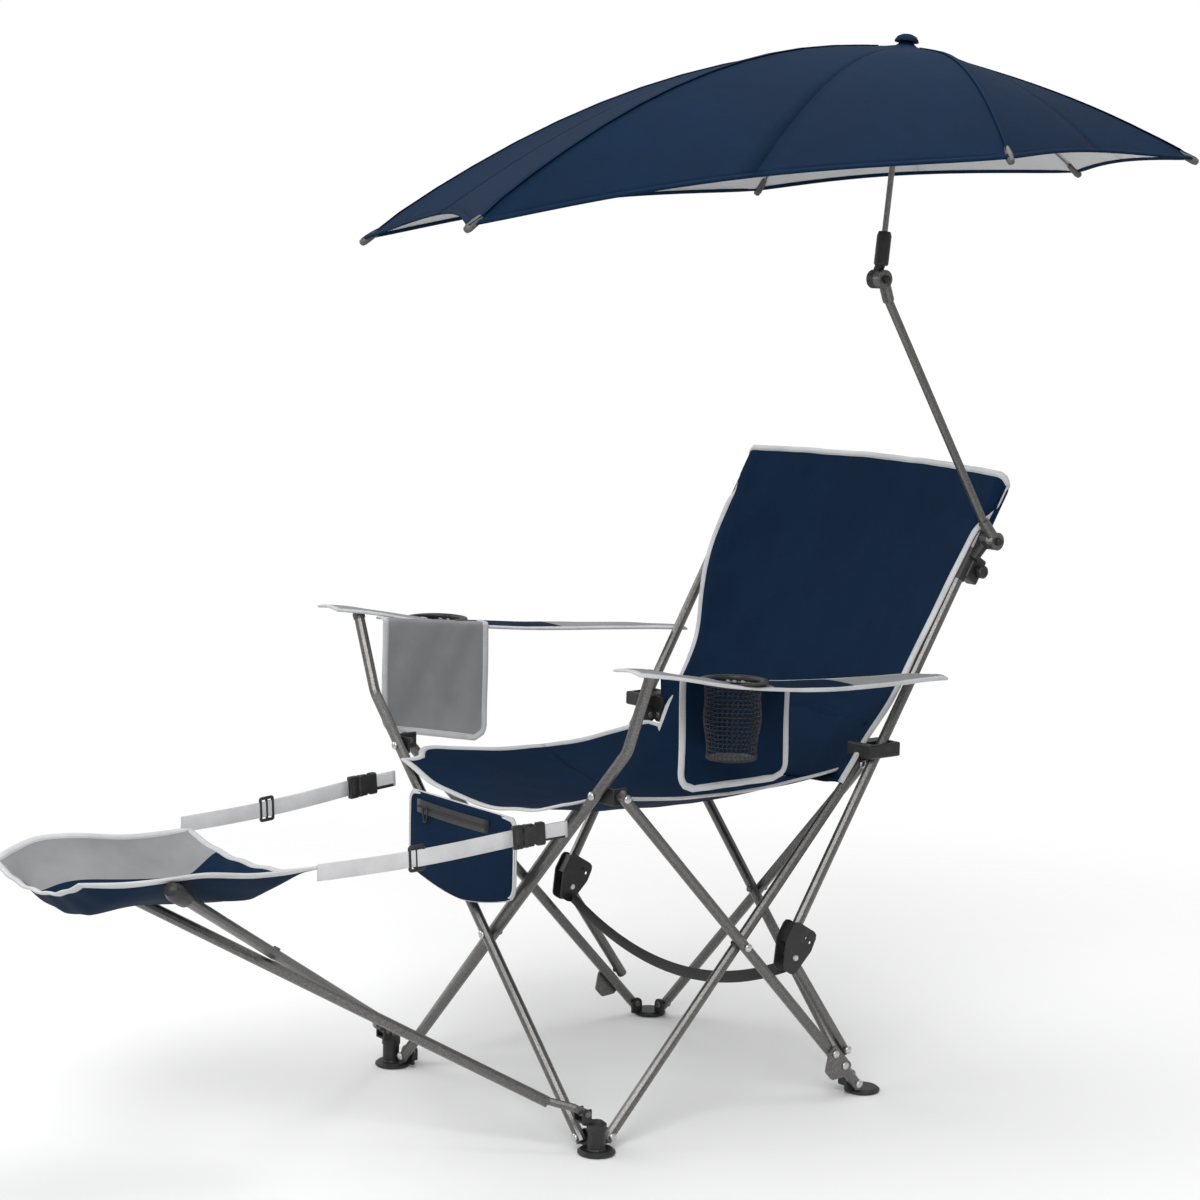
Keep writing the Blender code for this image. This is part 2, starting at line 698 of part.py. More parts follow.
def leg_ends(side):
    """Foot and tip of one footrest leg; the left foot's leg runs under the right one's."""
    shift = leg_normal() * (TUBE_R + GAP / 2) * (-1 if side > 0 else 1)
    foot = Vector((side * LEG_FOOT.x, LEG_FOOT.y, LEG_FOOT.z))
    tip = Vector((side * LEG_TIP.x, LEG_TIP.y, LEG_TIP.z)) + shift
    return foot, foot.lerp(tip, 0.06) + shift, tip


def make_footrest_leg(name, side):
    foot, start, tip = leg_ends(side)
    along = (tip - start).normalized()
    crossing = start.lerp(tip, start.x / (start.x - tip.x))
    body = tube([start, tip], TUBE_R)
    ahead = Vector((0, along.y, along.z)).normalized()
    knee = foot + ahead * 0.018
    eye = rod(foot - X * 0.0075, foot + X * 0.0075, 0.0065, 12)
    neck = tube([foot, knee, start + along * 0.008], 0.0055, 2)
    body = fuse(body, fuse(eye, neck))
    pin_half = TUBE_R + GAP + 0.003 + GAP
    body = fuse(body, rivet(foot - X * pin_half, X, 2 * pin_half, 0))
    cap_l = LEG_CAP_L
    profile = [(0, -cap_l), (LEG_CAP_R - 0.002, -cap_l), (LEG_CAP_R, -cap_l + 0.004), (LEG_CAP_R + 0.001, -0.012),
               (LEG_CAP_R - 0.003, 0.002), (0, 0.006)]
    body = fuse(body, turned(profile, tip, along, 16))
    normal = leg_normal()
    if side < 0:
        head = crossing + normal * TUBE_R
        body = fuse(body, rod(head - normal * 0.004, head + normal * RIVET_HEAD_H, RIVET_HEAD_R, 12))
    return finish(body, name, STEEL, foot)


def footrest_edge(y):
    """Half width and height of the footrest sling's side edge at y."""
    stations = [(-0.989, 0.120, 0.447), (-0.945, 0.158, 0.450), (-0.895, 0.182, 0.4543), (-0.84, 0.179, 0.453),
                (-0.76, 0.176, 0.442), (-0.659, 0.176, 0.440)]
    for (y0, w0, z0), (y1, w1, z1) in zip(stations, stations[1:]):
        if y <= y1:
            share = (y - y0) / (y1 - y0)
            return w0 + (w1 - w0) * share, z0 + (z1 - z0) * share
    return stations[-1][1], stations[-1][2]


def make_footrest_sling():
    """The hammock between the leg tips: side edges up, belly down, front lip turned up."""
    rows = []
    for y in (-0.989, -0.965, -0.935, -0.895, -0.85, -0.80, -0.75, -0.70, -0.659):
        half, edge = footrest_edge(y)
        ends = min(1.0, (y + 0.989) / 0.05, (-0.659 - y) / 0.06)
        sag = 0.026 + 0.036 * max(0.0, ends)
        rows.append([
            (half * u, y, edge + 0.007 * u - sag * (1 - abs(u) ** 2.2)) for u in (-1, -0.8, -0.55, -0.28, 0, 0.28, 0.55, 0.8, 1)
        ])
    made = sheet(rows, SLING_T)
    return finish(made, "footrest_sling", NAVY, (0, -0.899, 0.44))


def strap_points(side):
    """The footrest strap from the sling's rear corner to its buckle under the seat's front."""
    start = Vector((side * (footrest_edge(-0.672)[0] + (STRAP_T + SLING_T) / 2), -0.672, 0.440))
    end = Vector((side * 0.2040, -0.375, 0.4555))
    return [start.lerp(end, k / 4) - Z * 0.004 * math.sin(math.pi * k / 4) for k in range(5)]


def make_footrest_strap(name, side):
    """Webbing with the tri-glide that sets its length."""
    points = strap_points(side)
    body = ribbon(points, STRAP_W, STRAP_T)
    centre = points[2]
    along = (points[3] - points[1]).normalized()
    turn = X.rotation_difference(along).to_matrix().to_4x4()
    glide = block((-0.011, -0.0022, -0.0165), (0.011, 0.0022, 0.0165), 0.0008)
    glide = cut(glide, block((-0.0085, -0.01, -0.0132), (-0.002, 0.01, 0.0132)), block((0.002, -0.01, -0.0132), (0.0085, 0.01, 0.0132)))
    glide.data.transform(Matrix.Translation(centre) @ turn)
    body = fuse(body, glide)
    return finish(body, name, WEBBING, points[0])


def make_buckle(name, side):
    """Side-release buckle, closed: body, two prongs through its side windows and the strap bars."""
    end = strap_points(side)[-1]
    seat = Vector((side * 0.2120, -0.2905, 0.4600))
    along = (seat - end).normalized()
    turn = X.rotation_difference(along).to_matrix().to_4x4()
    body = block((0.018, -0.0055, -0.016), (0.052, 0.0055, 0.016), 0.002)
    windows = [block((0.024, -0.02, way * 0.0165 - 0.0035), (0.040, 0.02, way * 0.0165 + 0.0035)) for way in (-1, 1)]
    body = cut(body, *windows)
    prongs = [block((0.010, -0.0035, way * 0.0135 - 0.0022), (0.034, 0.0035, way * 0.0135 + 0.0022), 0.0008) for way in (-1, 1)]
    male = block((0.0012, -0.0045, -0.0165), (0.0165, 0.0045, 0.0165), 0.0015)
    male = cut(male, block((0.005, -0.02, -0.0125), (0.010, 0.02, 0.0125)))
    body = fuse(body, block((0.012, -0.003, -0.006), (0.022, 0.003, 0.006)), male, *prongs)
    tail = block((0.050, -0.0016, -0.0115), ((seat - end).length, 0.0016, 0.0115))
    body = fuse(body, tail)
    body.data.transform(Matrix.Translation(end) @ turn)
    return finish(body, name, PLASTIC, end)


def seat_height(x, y):
    """Height of the seat's middle surface: slung from the corners and the sides."""
    across = min(1.0, abs(x) / 0.235)
    along = max(-1.0, min(1.0, y / 0.25))
    rear_lift = 0.018 * max(0.0, along) ** 2
    front_lift = 0.020 * max(0.0, -along) ** 2
    return 0.436 + rear_lift + front_lift + 0.050 * across ** 2


def make_seat(name, stations):
    """Front or rear half of the seat sling, from stations of y and half width."""
    rows = []
    for y, half in stations:
        rows.append([(half * u, y, seat_height(half * u, y)) for u in (-1, -0.85, -0.6, -0.3, 0, 0.3, 0.6, 0.85, 1)])
    made = sheet(rows, SLING_T)
    pivot = (0, math.copysign(PAIR_HALF, stations[1][0]), TOP_Z)
    return finish(made, name, NAVY, pivot)


def back_outline(run):
    """Half width of the back panel, run metres up the post from the guide."""
    stations = [(-0.02, 0.196), (0.06, 0.232), (0.14, 0.262), (0.20, 0.270), (0.30, 0.277), (0.40, 0.284),
                (0.438, 0.281), (0.452, 0.17)]
    for (r0, w0), (r1, w1) in zip(stations, stations[1:]):
        if run <= r1:
            return w0 + (w1 - w0) * (run - r0) / (r1 - r0)
    return stations[-1][1]


def make_back_panel():
    """The back sling, in front of the posts, hollowed between them."""
    rows = []
    axis = post_axis()
    front = Vector((0, -math.cos(POST_TILT), math.sin(POST_TILT)))
    base = Vector((0, GUIDE_Y, GUIDE_Z))
    for run in (-0.02, 0.03, 0.09, 0.15, 0.21, 0.27, 0.33, 0.38, 0.415, 0.438, 0.452):
        half = back_outline(run)
        hollow = 0.045 if run < 0.40 else 0.028
        row = []
        for u in (-1, -0.94, -0.8, -0.55, -0.25, 0.25, 0.55, 0.8, 0.94, 1):
            depth = POST_CAP_R + GAP + SLING_T / 2 - hollow * (1 - min(1, abs(u) / 0.94) ** 2.5)
            row.append(base + axis * run + X * half * u + front * depth)
        rows.append(row)
    made = sheet(rows, SLING_T)
    return finish(made, "back_panel", NAVY, base)


def arm_line(share):
    """The armrest band at a share of its length: y, inner and outer x, height."""
    stations = [
        (0.00, 0.338, 0.392, 0.704), (0.08, 0.320, 0.408, 0.6975), (0.25, 0.312, 0.404, 0.676),
        (0.50, 0.304, 0.394, 0.657), (0.78, 0.294, 0.362, 0.646), (0.90, 0.2842, 0.340, 0.642),
        (1.00, 0.2842, 0.318, 0.636),
    ]
    y = -0.309 + 0.650 * share
    for (s0, a0, b0, z0), (s1, a1, b1, z1) in zip(stations, stations[1:]):
        if share <= s1 + 1e-9:
            part = (share - s0) / (s1 - s0)
            return y, a0 + (a1 - a0) * part, b0 + (b1 - b0) * part, z0 + (z1 - z0) * part
    return y, *stations[-1][1:]


def make_armrest(name, side):
    """The padded fabric band from the arm post to the back post, with its cup ring and pocket."""
    rows = []
    for share in (0, 0.08, 0.16, 0.25, 0.33, 0.42, 0.5, 0.6, 0.7, 0.78, 0.84, 0.9, 0.95, 1):
        y, inner, outer, z = arm_line(share)
        middle, half = (inner + outer) / 2, (outer - inner) / 2
        rows.append([(side * (middle + half * u), y, z - 0.003 * u * u) for u in (-1, -0.5, 0, 0.5, 1)])
    made = sheet(rows, 0.005)
    cup = arm_cup(side)
    made = cut(made, rod((cup.x, cup.y, cup.z - 0.05), (cup.x, cup.y, cup.z + 0.05), 0.0405, 24))
    made = fuse(made, cup_holder(cup))
    made = fuse(made, arm_pocket(side))
    made = cut(made, bore_for_post(side))
    return finish(made, name, NAVY, (side * ARM_X, -INNER if side > 0 else -OUTER, ARM_Z))


def bore_for_post(side):
    """Room round the arm post's capped end under the band."""
    plane = -INNER if side > 0 else -OUTER
    tip = Vector((side * ARM_X, plane, ARM_Z))
    low = Vector((side * (ARM_X - 0.012), plane, ARM_Z - 0.030))
    return rod(low, tip + (tip - low).normalized() * 0.0075, TUBE_R + 0.0020, 16)


def arm_cup(side):
    y, inner, outer, z = arm_line(0.30)
    return Vector((side * (inner + outer) / 2, y, z))


def cup_holder(cup):
    """The round cup holder that hangs in the band: an open-topped cup with a 2 mm wall."""
    top, depth, outer, wall = 0.0025, 0.105, 0.042, 0.002
    profile = [(0, -depth), (outer - 0.006, -depth), (outer, top), (outer - wall, top),
               (outer - 0.006 - wall, -depth + wall), (0, -depth + wall)]
    return turned(profile, cup, Z, 24)


def arm_pocket(side):
    """The pocket panel that hangs outside the left cup, or the insulated pouch under the right arm."""
    if side > 0:
        face = 0.4065
        outline = rounded_outline([(-0.095, 0.040), (-0.095, -0.125), (0.095, -0.125), (0.095, 0.040)], 0.024, 4)
        panel = plate(outline, 0.004, side_plane(face, -0.075, 0.636))
        lip = block((0.384, -0.150, 0.6650), (0.4080, 0.010, 0.6700))
        return fuse(panel, lip)
    outline = rounded_outline([(-0.100, 0.045), (-0.100, -0.125), (0.072, -0.155), (0.100, 0.045)], 0.020, 4)
    pouch = plate(outline, 0.006, side_plane(-0.3035, -0.150, 0.6375))
    lip = block((-0.330, -0.245, 0.676), (-0.301, -0.060, 0.6815))
    return fuse(pouch, lip)


def make_front_pouch():
    """The zipped pouch under the seat's front edge: a soft flat bag, open at its mouth."""
    outline = rounded_outline([(-0.115, 0.066), (-0.115, -0.058), (0.0, -0.078), (0.115, -0.058), (0.115, 0.066)], 0.020, 4)
    upright = Matrix(((1, 0, 0, 0), (0, 0, -1, 0), (0, 1, 0, 0), (0, 0, 0, 1)))
    body = plate(outline, 0.010, Matrix.Translation((-0.055, -0.2880, 0.3885)) @ upright)
    return finish(body, "front_pouch", NAVY, (-0.055, -0.2855, 0.438))


def umbrella_clamp_point():
    """Where the canopy's clamp grips the left back post."""
    drop = (KNUCKLE_LOW.z - 0.036 - GUIDE_Z) / post_axis(1).z
    return post_point(1, KNEE_RUN + drop)


def make_clamp():
    """The clamp: a collar round the post, a jaw with its screw, and the lower knuckle's fixed half."""
    spot = umbrella_clamp_point()
    axis = post_axis(1)
    collar = rod(spot - axis * 0.026, spot + axis * 0.026, TUBE_R + 0.0022, 20)
    turn = Z.rotation_difference(axis).to_matrix().to_4x4()
    jaw = block((-0.009, 0.002, -0.020), (0.012, 0.030, 0.020), 0.002)
    jaw.data.transform(Matrix.Translation(spot) @ turn)
    screw = rod((0, 0.0215, 0), (0.0215, 0.0215, 0), 0.004, 12)
    knob = turned([(0, 0.014), (0.009, 0.014), (0.010, 0.016), (0.010, 0.022), (0.008, 0.024), (0, 0.024)],
                  (0, 0.0215, 0), X, 12)
    screw = fuse(screw, knob)
    screw.data.transform(Matrix.Translation(spot) @ turn)
    stem = rod(spot + axis * 0.010 + X * 0.012, KNUCKLE_LOW - X * 0.0095, 0.008, 12)
    half = rod(KNUCKLE_LOW - X * (HUB_W + 0.001), KNUCKLE_LOW - X * GAP, HUB_R, 24)
    made = fuse(collar, jaw, screw, stem, half)
    made = cut(made, rod(spot - axis * 0.08, spot + axis * 0.08, TUBE_R + GAP, 20))
    made = cut(made, bore(KNUCKLE_LOW, X, 0.06, 0.0063))
    return finish(made, "umbrella_clamp", PLASTIC, spot)


def make_arm():
    """The canopy arm: a tube with a knuckle half and socket at each end."""
    along = (KNUCKLE_UP - KNUCKLE_LOW).normalized()
    body = tube([KNUCKLE_LOW + along * 0.020, KNUCKLE_LOW.lerp(KNUCKLE_UP, 0.5), KNUCKLE_UP - along * 0.020], ARM_TUBE_R)
    low_half = rod(KNUCKLE_LOW + X * GAP, KNUCKLE_LOW + X * HUB_W, HUB_R, 24)
    low_neck = rod(KNUCKLE_LOW + X * 0.0065 + along * 0.008, KNUCKLE_LOW + along * 0.036, 0.0085, 12)
    up_half = rod(KNUCKLE_UP + X * GAP, KNUCKLE_UP + X * HUB_W, HUB_R, 24)
    up_neck = rod(KNUCKLE_UP + X * 0.0065 - along * 0.008, KNUCKLE_UP - along * 0.036, 0.0085, 12)
    body = fuse(body, low_neck, low_half, up_neck, up_half)
    for knuckle in (KNUCKLE_LOW, KNUCKLE_UP):
        body = cut(body, rod(knuckle - X * HUB_W * 1.1, knuckle - X * 0.0, HUB_R + 0.0012, 24))
        body = cut(body, bore(knuckle, X, 0.06, 0.0063))
    return finish(body, "umbrella_arm", STEEL, KNUCKLE_LOW)


def make_button(name, knuckle):
    """A push button on its pin, through both halves of a knuckle."""
    profile = [(0, -HUB_W - 0.0005), (0.0058, -HUB_W - 0.0005), (0.0058, HUB_W + 0.0045), (0.0045, HUB_W + 0.0060),
               (0, HUB_W + 0.0060)]
    made = turned(profile, knuckle, X, 16)
    return finish(made, name, PLASTIC, knuckle)


def canopy_axes():
    """Crown, forward, left and up of the canopy, which leans with its shaft and is turned on it."""
    up = (CROWN - KNUCKLE_UP).normalized()
    forward = Matrix.Rotation(CANOPY_YAW, 3, "Z") @ Vector((0, -1, 0))
    forward = (forward - up * forward.dot(up)).normalized()
    left = up.cross(forward).normalized()
    if left.x < 0:
        left = -left
    return forward, left, up


def rib_plane(tip):
    """Outward direction of a rib, its reach and its drop."""
    forward, left, up = canopy_axes()
    ahead, beside, drop = tip
    out = (forward * ahead + left * beside).normalized()
    return out, math.hypot(ahead, beside), drop


def rib_point(tip, share):
    """A point along a rib: straight to the stretcher's joint, then curving down to the tip."""
    out, reach, drop = rib_plane(tip)
    up = canopy_axes()[2]
    start = (RIB_START, RIB_START_DROP)
    joint_share = RIB_SHARES[2]
    joint = (start[0] + STRETCHER * math.cos(RIB_PITCH), start[1] + STRETCHER * math.sin(RIB_PITCH))
    end = (reach, drop)
    if share <= joint_share:
        part = share / joint_share
        place = (start[0] + (joint[0] - start[0]) * part, start[1] + (joint[1] - start[1]) * part)
    else:
        part = (share - joint_share) / (1 - joint_share)
        run = (end[0] - joint[0]) * 0.5
        handle = (joint[0] + run, joint[1] + run * math.tan(RIB_PITCH))
        a, b, c = (1 - part) ** 2, 2 * part * (1 - part), part ** 2
        place = (a * joint[0] + b * handle[0] + c * end[0], a * joint[1] + b * handle[1] + c * end[1])
    return CROWN + out * place[0] - up * place[1]


def rib_normal(tip, share):
    """Upward normal of a rib's curve, in the rib's own plane."""
    along = rib_point(tip, share + 0.01) - rib_point(tip, share - 0.01)
    along.normalize()
    up = canopy_axes()[2]
    return (up - along * along.dot(up)).normalized()


def make_rib(name, tip):
    """One rib with its tip cap; its hinge end is at the crown."""
    out = rib_plane(tip)[0]
    points = [rib_point(tip, share) for share in RIB_SHARES]
    body = tube(points, RIB_R, 2)
    along = (points[-1] - points[-2]).normalized()
    cap = turned([(0, -0.020), (0.0020, -0.020), (0.0024, -0.004), (0.0018, 0.006), (0, 0.007)], points[-1], along, 8)
    body = fuse(body, cap)
    return finish(body, name, STEEL, points[0])


def stretcher_ends(tip):
    """Rib joint and runner joint of a stretcher, beside the rib."""
    out = rib_plane(tip)[0]
    up = canopy_axes()[2]
    beside = up.cross(out).normalized() * (2 * RIB_R + GAP)
    high = rib_point(tip, RIB_SHARES[2])
    drop = RIB_START_DROP + 2 * STRETCHER * math.sin(RIB_PITCH)
    low = CROWN + out * RIB_START - up * drop
    return high + beside, low + beside


def make_stretcher(name, tip):
    high, low = stretcher_ends(tip)
    return finish(rod(low, high, RIB_R, 8), name, STEEL, high)


def make_shaft():
    """The canopy's shaft with the notched crown that the ribs hinge on and the cap above the fabric."""
    up = canopy_axes()[2]
    foot = KNUCKLE_UP + up * 0.024
    body = rod(foot, CROWN + up * 0.008, SHAFT_R, 16)
    crown = turned([(0, -0.020), (0.008, -0.020), (0.0112, -0.017), (0.0112, -0.007), (0.0085, -0.004), (0, -0.004)],
                   CROWN, up, 16)
    cap = turned([(0, 0.0024), (0.013, 0.0024), (0.0125, 0.0050), (0.007, 0.0085), (0, 0.0105)], CROWN, up, 16)
    body = fuse(body, crown, cap)
    return finish(body, "canopy_shaft", STEEL, CROWN)


def make_sleeve():
    """The upper knuckle's canopy half and the sleeve that holds the shaft."""
    up = canopy_axes()[2]
    half = rod(KNUCKLE_UP - X * HUB_W, KNUCKLE_UP - X * GAP, HUB_R, 24)
    neck = rod(KNUCKLE_UP - X * 0.0065 + up * 0.006, KNUCKLE_UP + up * 0.024, 0.0075, 12)
    sleeve = turned(
        [(0, 0.020), (SLEEVE_R - 0.001, 0.020), (SLEEVE_R, 0.022), (SLEEVE_R, 0.062), (SLEEVE_R - 0.002, 0.068), (0, 0.068)],
        KNUCKLE_UP, up, 16,
    )
    body = fuse(half, neck, sleeve)
    body = cut(body, rod(KNUCKLE_UP + up * 0.0235, KNUCKLE_UP + up * 0.09, SHAFT_R + GAP, 16))
    body = cut(body, rod(KNUCKLE_UP, KNUCKLE_UP + X * 0.03, HUB_R + 0.0012, 24))
    body = cut(body, bore(KNUCKLE_UP, X, 0.06, 0.0063))
    return finish(body, "shaft_sleeve", PLASTIC, KNUCKLE_UP)


def make_runner():
    """The runner that slides on the shaft and opens the stretchers."""
    up = canopy_axes()[2]
    drop = RIB_START_DROP + 2 * STRETCHER * math.sin(RIB_PITCH)
    profile = [(0, -drop - 0.030), (0.0075, -drop - 0.030), (0.0085, -drop - 0.026), (0.0085, -drop - 0.008),
               (0.0112, -drop - 0.005), (0.0112, -drop + 0.005), (0.0085, -drop + 0.008), (0, -drop + 0.008)]
    body = turned(profile, CROWN, up, 16)
    body = cut(body, rod(CROWN - up * (drop + 0.05), CROWN - up * (drop - 0.03), SHAFT_R + GAP, 16))
    return finish(body, "canopy_runner", PLASTIC, CROWN - up * drop)


def make_canopy():
    """The taut canopy: gores between the ribs, scalloped at the rim, with a hole for the crown."""
    up = canopy_axes()[2]
    tips = list(RIB_TIPS.values())
    gore_steps = 5
    rows = []
    for index, tip in enumerate(tips):
        following = tips[(index + 1) % len(tips)]
        one_out, two_out = rib_plane(tip)[0], rib_plane(following)[0]
        for step in range(gore_steps):
            part = step / gore_steps
            scallop = math.sin(math.pi * part)
            out = one_out.lerp(two_out, part).normalized()
            row = [CROWN + out * 0.0062 + up * 0.0012, CROWN + out * 0.0155 - up * 0.0068]
            for share in RIB_SHARES[1:]:
                reach = share * (1 - 0.05 * scallop * share)
                place = rib_point(tip, reach).lerp(rib_point(following, reach), part)
                above = rib_normal(tip, reach).lerp(rib_normal(following, reach), part)
                row.append(place + above * (CANOPY_LIFT + FABRIC_T / 2) - up * 0.004 * scallop * share)
            rows.append(row)
    rows.append(rows[0])
    made = sheet(rows, FABRIC_T)
    return finish(made, "canopy_fabric", NAVY, CROWN)


def build():
    for side, word in ((1, "left"), (-1, "right")):
        make_foot("foot_front_" + word, side, True)
        make_foot("foot_rear_" + word, side, False)
        make_side_tube("side_tube_" + word + "_rear_leg", side, 1)
        make_side_tube("side_tube_" + word + "_front_leg", side, -1)
        make_corner_link("front_corner_link_" + word, side)
        make_guide("rear_corner_guide_" + word, side)
        make_back_post("back_post_" + word, side)
        make_knee_bracket("knee_bracket_" + word, side)
        make_strut("recline_strut_" + word, side)
        make_knee_rivet("knee_rivet_" + word, side)
        make_swivel("footrest_swivel_" + word, side)
        make_footrest_leg("footrest_leg_" + word, side)
        make_footrest_strap("footrest_strap_" + word, side)
        make_buckle("strap_buckle_" + word, side)
        make_armrest("armrest_" + word, side)
    make_front_tube("front_tube_right_arm", 1, -OUTER)
    make_front_tube("front_tube_left_arm", -1, -INNER)
    make_rear_tube("rear_tube_left_foot", 1, INNER)
    make_rear_tube("rear_tube_right_foot", -1, OUTER)
    make_recline_strap()
    make_footrest_sling()
    link_y = -(INNER - TUBE_R - GAP - LUG_T / 2)
    link_x = PAIR_HALF - LINK_R - GAP - SLING_T / 2
    make_seat("seat_sling_front", [
        (-0.284, 0.198), (-0.262, 0.198), (link_y - 0.003, 0.205), (link_y, link_x), (-0.214, 0.231),
        (-0.165, 0.234), (-0.11, 0.234), (-0.055, 0.234), (-GAP, 0.234),
    ])
    lug_x = INNER - TUBE_R - LUG_T - 2 * GAP - SLING_T / 4
    make_seat("seat_sling_rear", [
        (GAP, 0.234), (0.055, 0.234), (0.11, 0.234), (0.165, 0.234), (0.205, 0.234), (PAIR_HALF - 0.0095, lug_x),
        (0.236, 0.205),
    ])
    make_back_panel()
    make_front_pouch()
    make_clamp()
    make_arm()
    make_button("knuckle_button_lower", KNUCKLE_LOW)
    make_button("knuckle_button_upper", KNUCKLE_UP)
    make_sleeve()
    make_shaft()
    make_runner()
    for name, tip in RIB_TIPS.items():
        make_rib("rib_" + name, tip)
        make_stretcher("stretcher_" + name, tip)
    make_canopy()


build()
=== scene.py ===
# %% [markdown]
# A reclining camp chair with a clip-on canopy
#
# The frame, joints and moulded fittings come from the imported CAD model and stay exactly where
# they are. This lesson dresses them: it sews the slings, the armrests, the footrest and the
# canopy as real sheets of cloth with bound edges, threads the straps, hangs the net cup
# holders, and mixes a finish for every material. All places are metres in the CAD's frame.

import json
import math

import bmesh
import bpy
import numpy as np
from mathutils import Matrix, Vector

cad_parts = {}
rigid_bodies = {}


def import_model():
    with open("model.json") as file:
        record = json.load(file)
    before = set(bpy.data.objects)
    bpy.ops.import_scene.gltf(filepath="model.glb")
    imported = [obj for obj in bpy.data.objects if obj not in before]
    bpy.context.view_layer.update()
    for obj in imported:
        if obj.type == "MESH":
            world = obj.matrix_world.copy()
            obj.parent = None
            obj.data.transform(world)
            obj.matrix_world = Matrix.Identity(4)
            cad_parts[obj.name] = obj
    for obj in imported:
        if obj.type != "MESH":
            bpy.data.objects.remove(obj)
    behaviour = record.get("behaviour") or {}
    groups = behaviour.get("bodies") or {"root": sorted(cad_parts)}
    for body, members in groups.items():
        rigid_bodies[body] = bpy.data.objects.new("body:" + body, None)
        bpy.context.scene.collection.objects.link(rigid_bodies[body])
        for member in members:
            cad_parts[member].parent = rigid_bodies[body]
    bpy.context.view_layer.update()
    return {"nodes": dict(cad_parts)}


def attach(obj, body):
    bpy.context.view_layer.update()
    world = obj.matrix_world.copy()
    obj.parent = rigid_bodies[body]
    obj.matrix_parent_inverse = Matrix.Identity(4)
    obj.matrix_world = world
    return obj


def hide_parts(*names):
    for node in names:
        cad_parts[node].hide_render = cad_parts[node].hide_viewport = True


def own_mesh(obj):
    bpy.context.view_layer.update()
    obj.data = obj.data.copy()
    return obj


for leftover in list(bpy.data.objects):
    bpy.data.objects.remove(leftover, do_unlink=True)
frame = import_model()
NODES = frame["nodes"]

# %% [markdown]
# Places are easiest to write from the middle of the chair's feet, with +X to the sitter's left
# and -Y to the front. The CAD then shifts the whole chair so that its box is centred, and the
# same shift is added here as each mesh is made.

# %% Shared places and directions
SHIFT = Vector((-0.131, 0.1735, 0.0))
X, Y, Z = Vector((1, 0, 0)), Vector((0, 1, 0)), Vector((0, 0, 1))
PAIR_HALF, INNER, OUTER, TUBE_R = 0.230, 0.2505, 0.2668, 0.008
TOP_Z, FOOT_Z = 0.506, 0.020
POST_TILT = math.radians(31)
POST_DIR = Vector((0, math.sin(POST_TILT), math.cos(POST_TILT)))
POST_FRONT = Vector((0, -math.cos(POST_TILT), math.sin(POST_TILT)))
POST_BASE = Vector((0, 0.2485, 0.5285))
LINING_PALE = (0.74, 0.75, 0.76, 1)
SIDES = ((1, "left"), (-1, "right"))
print("back post leans", round(math.degrees(POST_TILT)), "degrees")

# %% [markdown]
# The camera stands where the photograph was taken from. Its place was found by fitting the
# frame's equal scissor pairs to the picture: low, in front of the sitter's left side, with a
# long lens and a very slight roll. The lens is the focal length in pixels of a 1200 pixel
# frame, turned into millimetres for a 36 mm sensor.

# %% Camera
def aim(azimuth, elevation, roll):
    """Rotation whose columns are the camera's right, up and backward directions."""
    a, e, r = (math.radians(v) for v in (azimuth, elevation, roll))
    back = Vector((math.sin(a) * math.cos(e), -math.cos(a) * math.cos(e), math.sin(e)))
    right = Vector((math.cos(a), math.sin(a), 0))
    up = back.cross(right)
    turned_right = right * math.cos(r) + up * math.sin(r)
    turned_up = up * math.cos(r) - right * math.sin(r)
    return Matrix((turned_right, turned_up, back)).transposed()


EYE = Vector((3.218, -2.617, 1.282))
AZIMUTH, ELEVATION, ROLL = 51.62, 7.51, 1.21
FOCAL_PIXELS, FRAME_PIXELS, SENSOR = 2799.4, 1200, 36.0
lens = bpy.data.cameras.new("camera")
lens.sensor_width = SENSOR
lens.lens = FOCAL_PIXELS / FRAME_PIXELS * SENSOR
lens.clip_start, lens.clip_end = 0.05, 60
camera = bpy.data.objects.new("camera", lens)
bpy.context.scene.collection.objects.link(camera)
camera.matrix_world = Matrix.Translation(EYE + SHIFT) @ aim(AZIMUTH, ELEVATION, ROLL).to_4x4()
bpy.context.scene.camera = camera
print("lens", round(lens.lens, 1), "mm")

# %% [markdown]
# Finishes are node graphs, and node graphs read best as arithmetic. A Wire wraps one output
# socket, so that a mask can be written as 1 - a * b, and each operator adds the Math node that
# it stands for. Every other node comes from one method, make.

# %% A small shader language
class Wire:
    """One output socket that can be added, multiplied and subtracted like a number."""

    def __init__(self, graph, socket):
        self.graph = graph
        self.socket = socket

    def math(self, operation, first, second=0.0):
        return self.graph.make("ShaderNodeMath", {"operation": operation}, {0: first, 1: second})

    def __add__(self, other):
        return self.math("ADD", self, other)

    def __mul__(self, other):
        return self.math("MULTIPLY", self, other)

    def __sub__(self, other):
        return self.math("SUBTRACT", self, other)

    def __rsub__(self, other):
        return self.math("SUBTRACT", other, self)

    def __truediv__(self, other):
        return self.math("DIVIDE", self, other)

    def __pow__(self, other):
        return self.math("POWER", self, other)

    __radd__, __rmul__ = __add__, __mul__

    def sine(self):
        return self.math("SINE", self)

    def size(self):
        return self.math("ABSOLUTE", self)

    def above(self, level):
        return self.math("GREATER_THAN", self, level)

    def part(self):
        return self.math("FRACT", self)

    def between(self, low, high):
        """Runs from 0 to 1 as the value goes from low to high."""
        settings = {"clamp": True, "interpolation_type": "SMOOTHSTEP"}
        inputs = {"Value": self, "From Min": low, "From Max": high}
        return self.graph.make("ShaderNodeMapRange", settings, inputs)


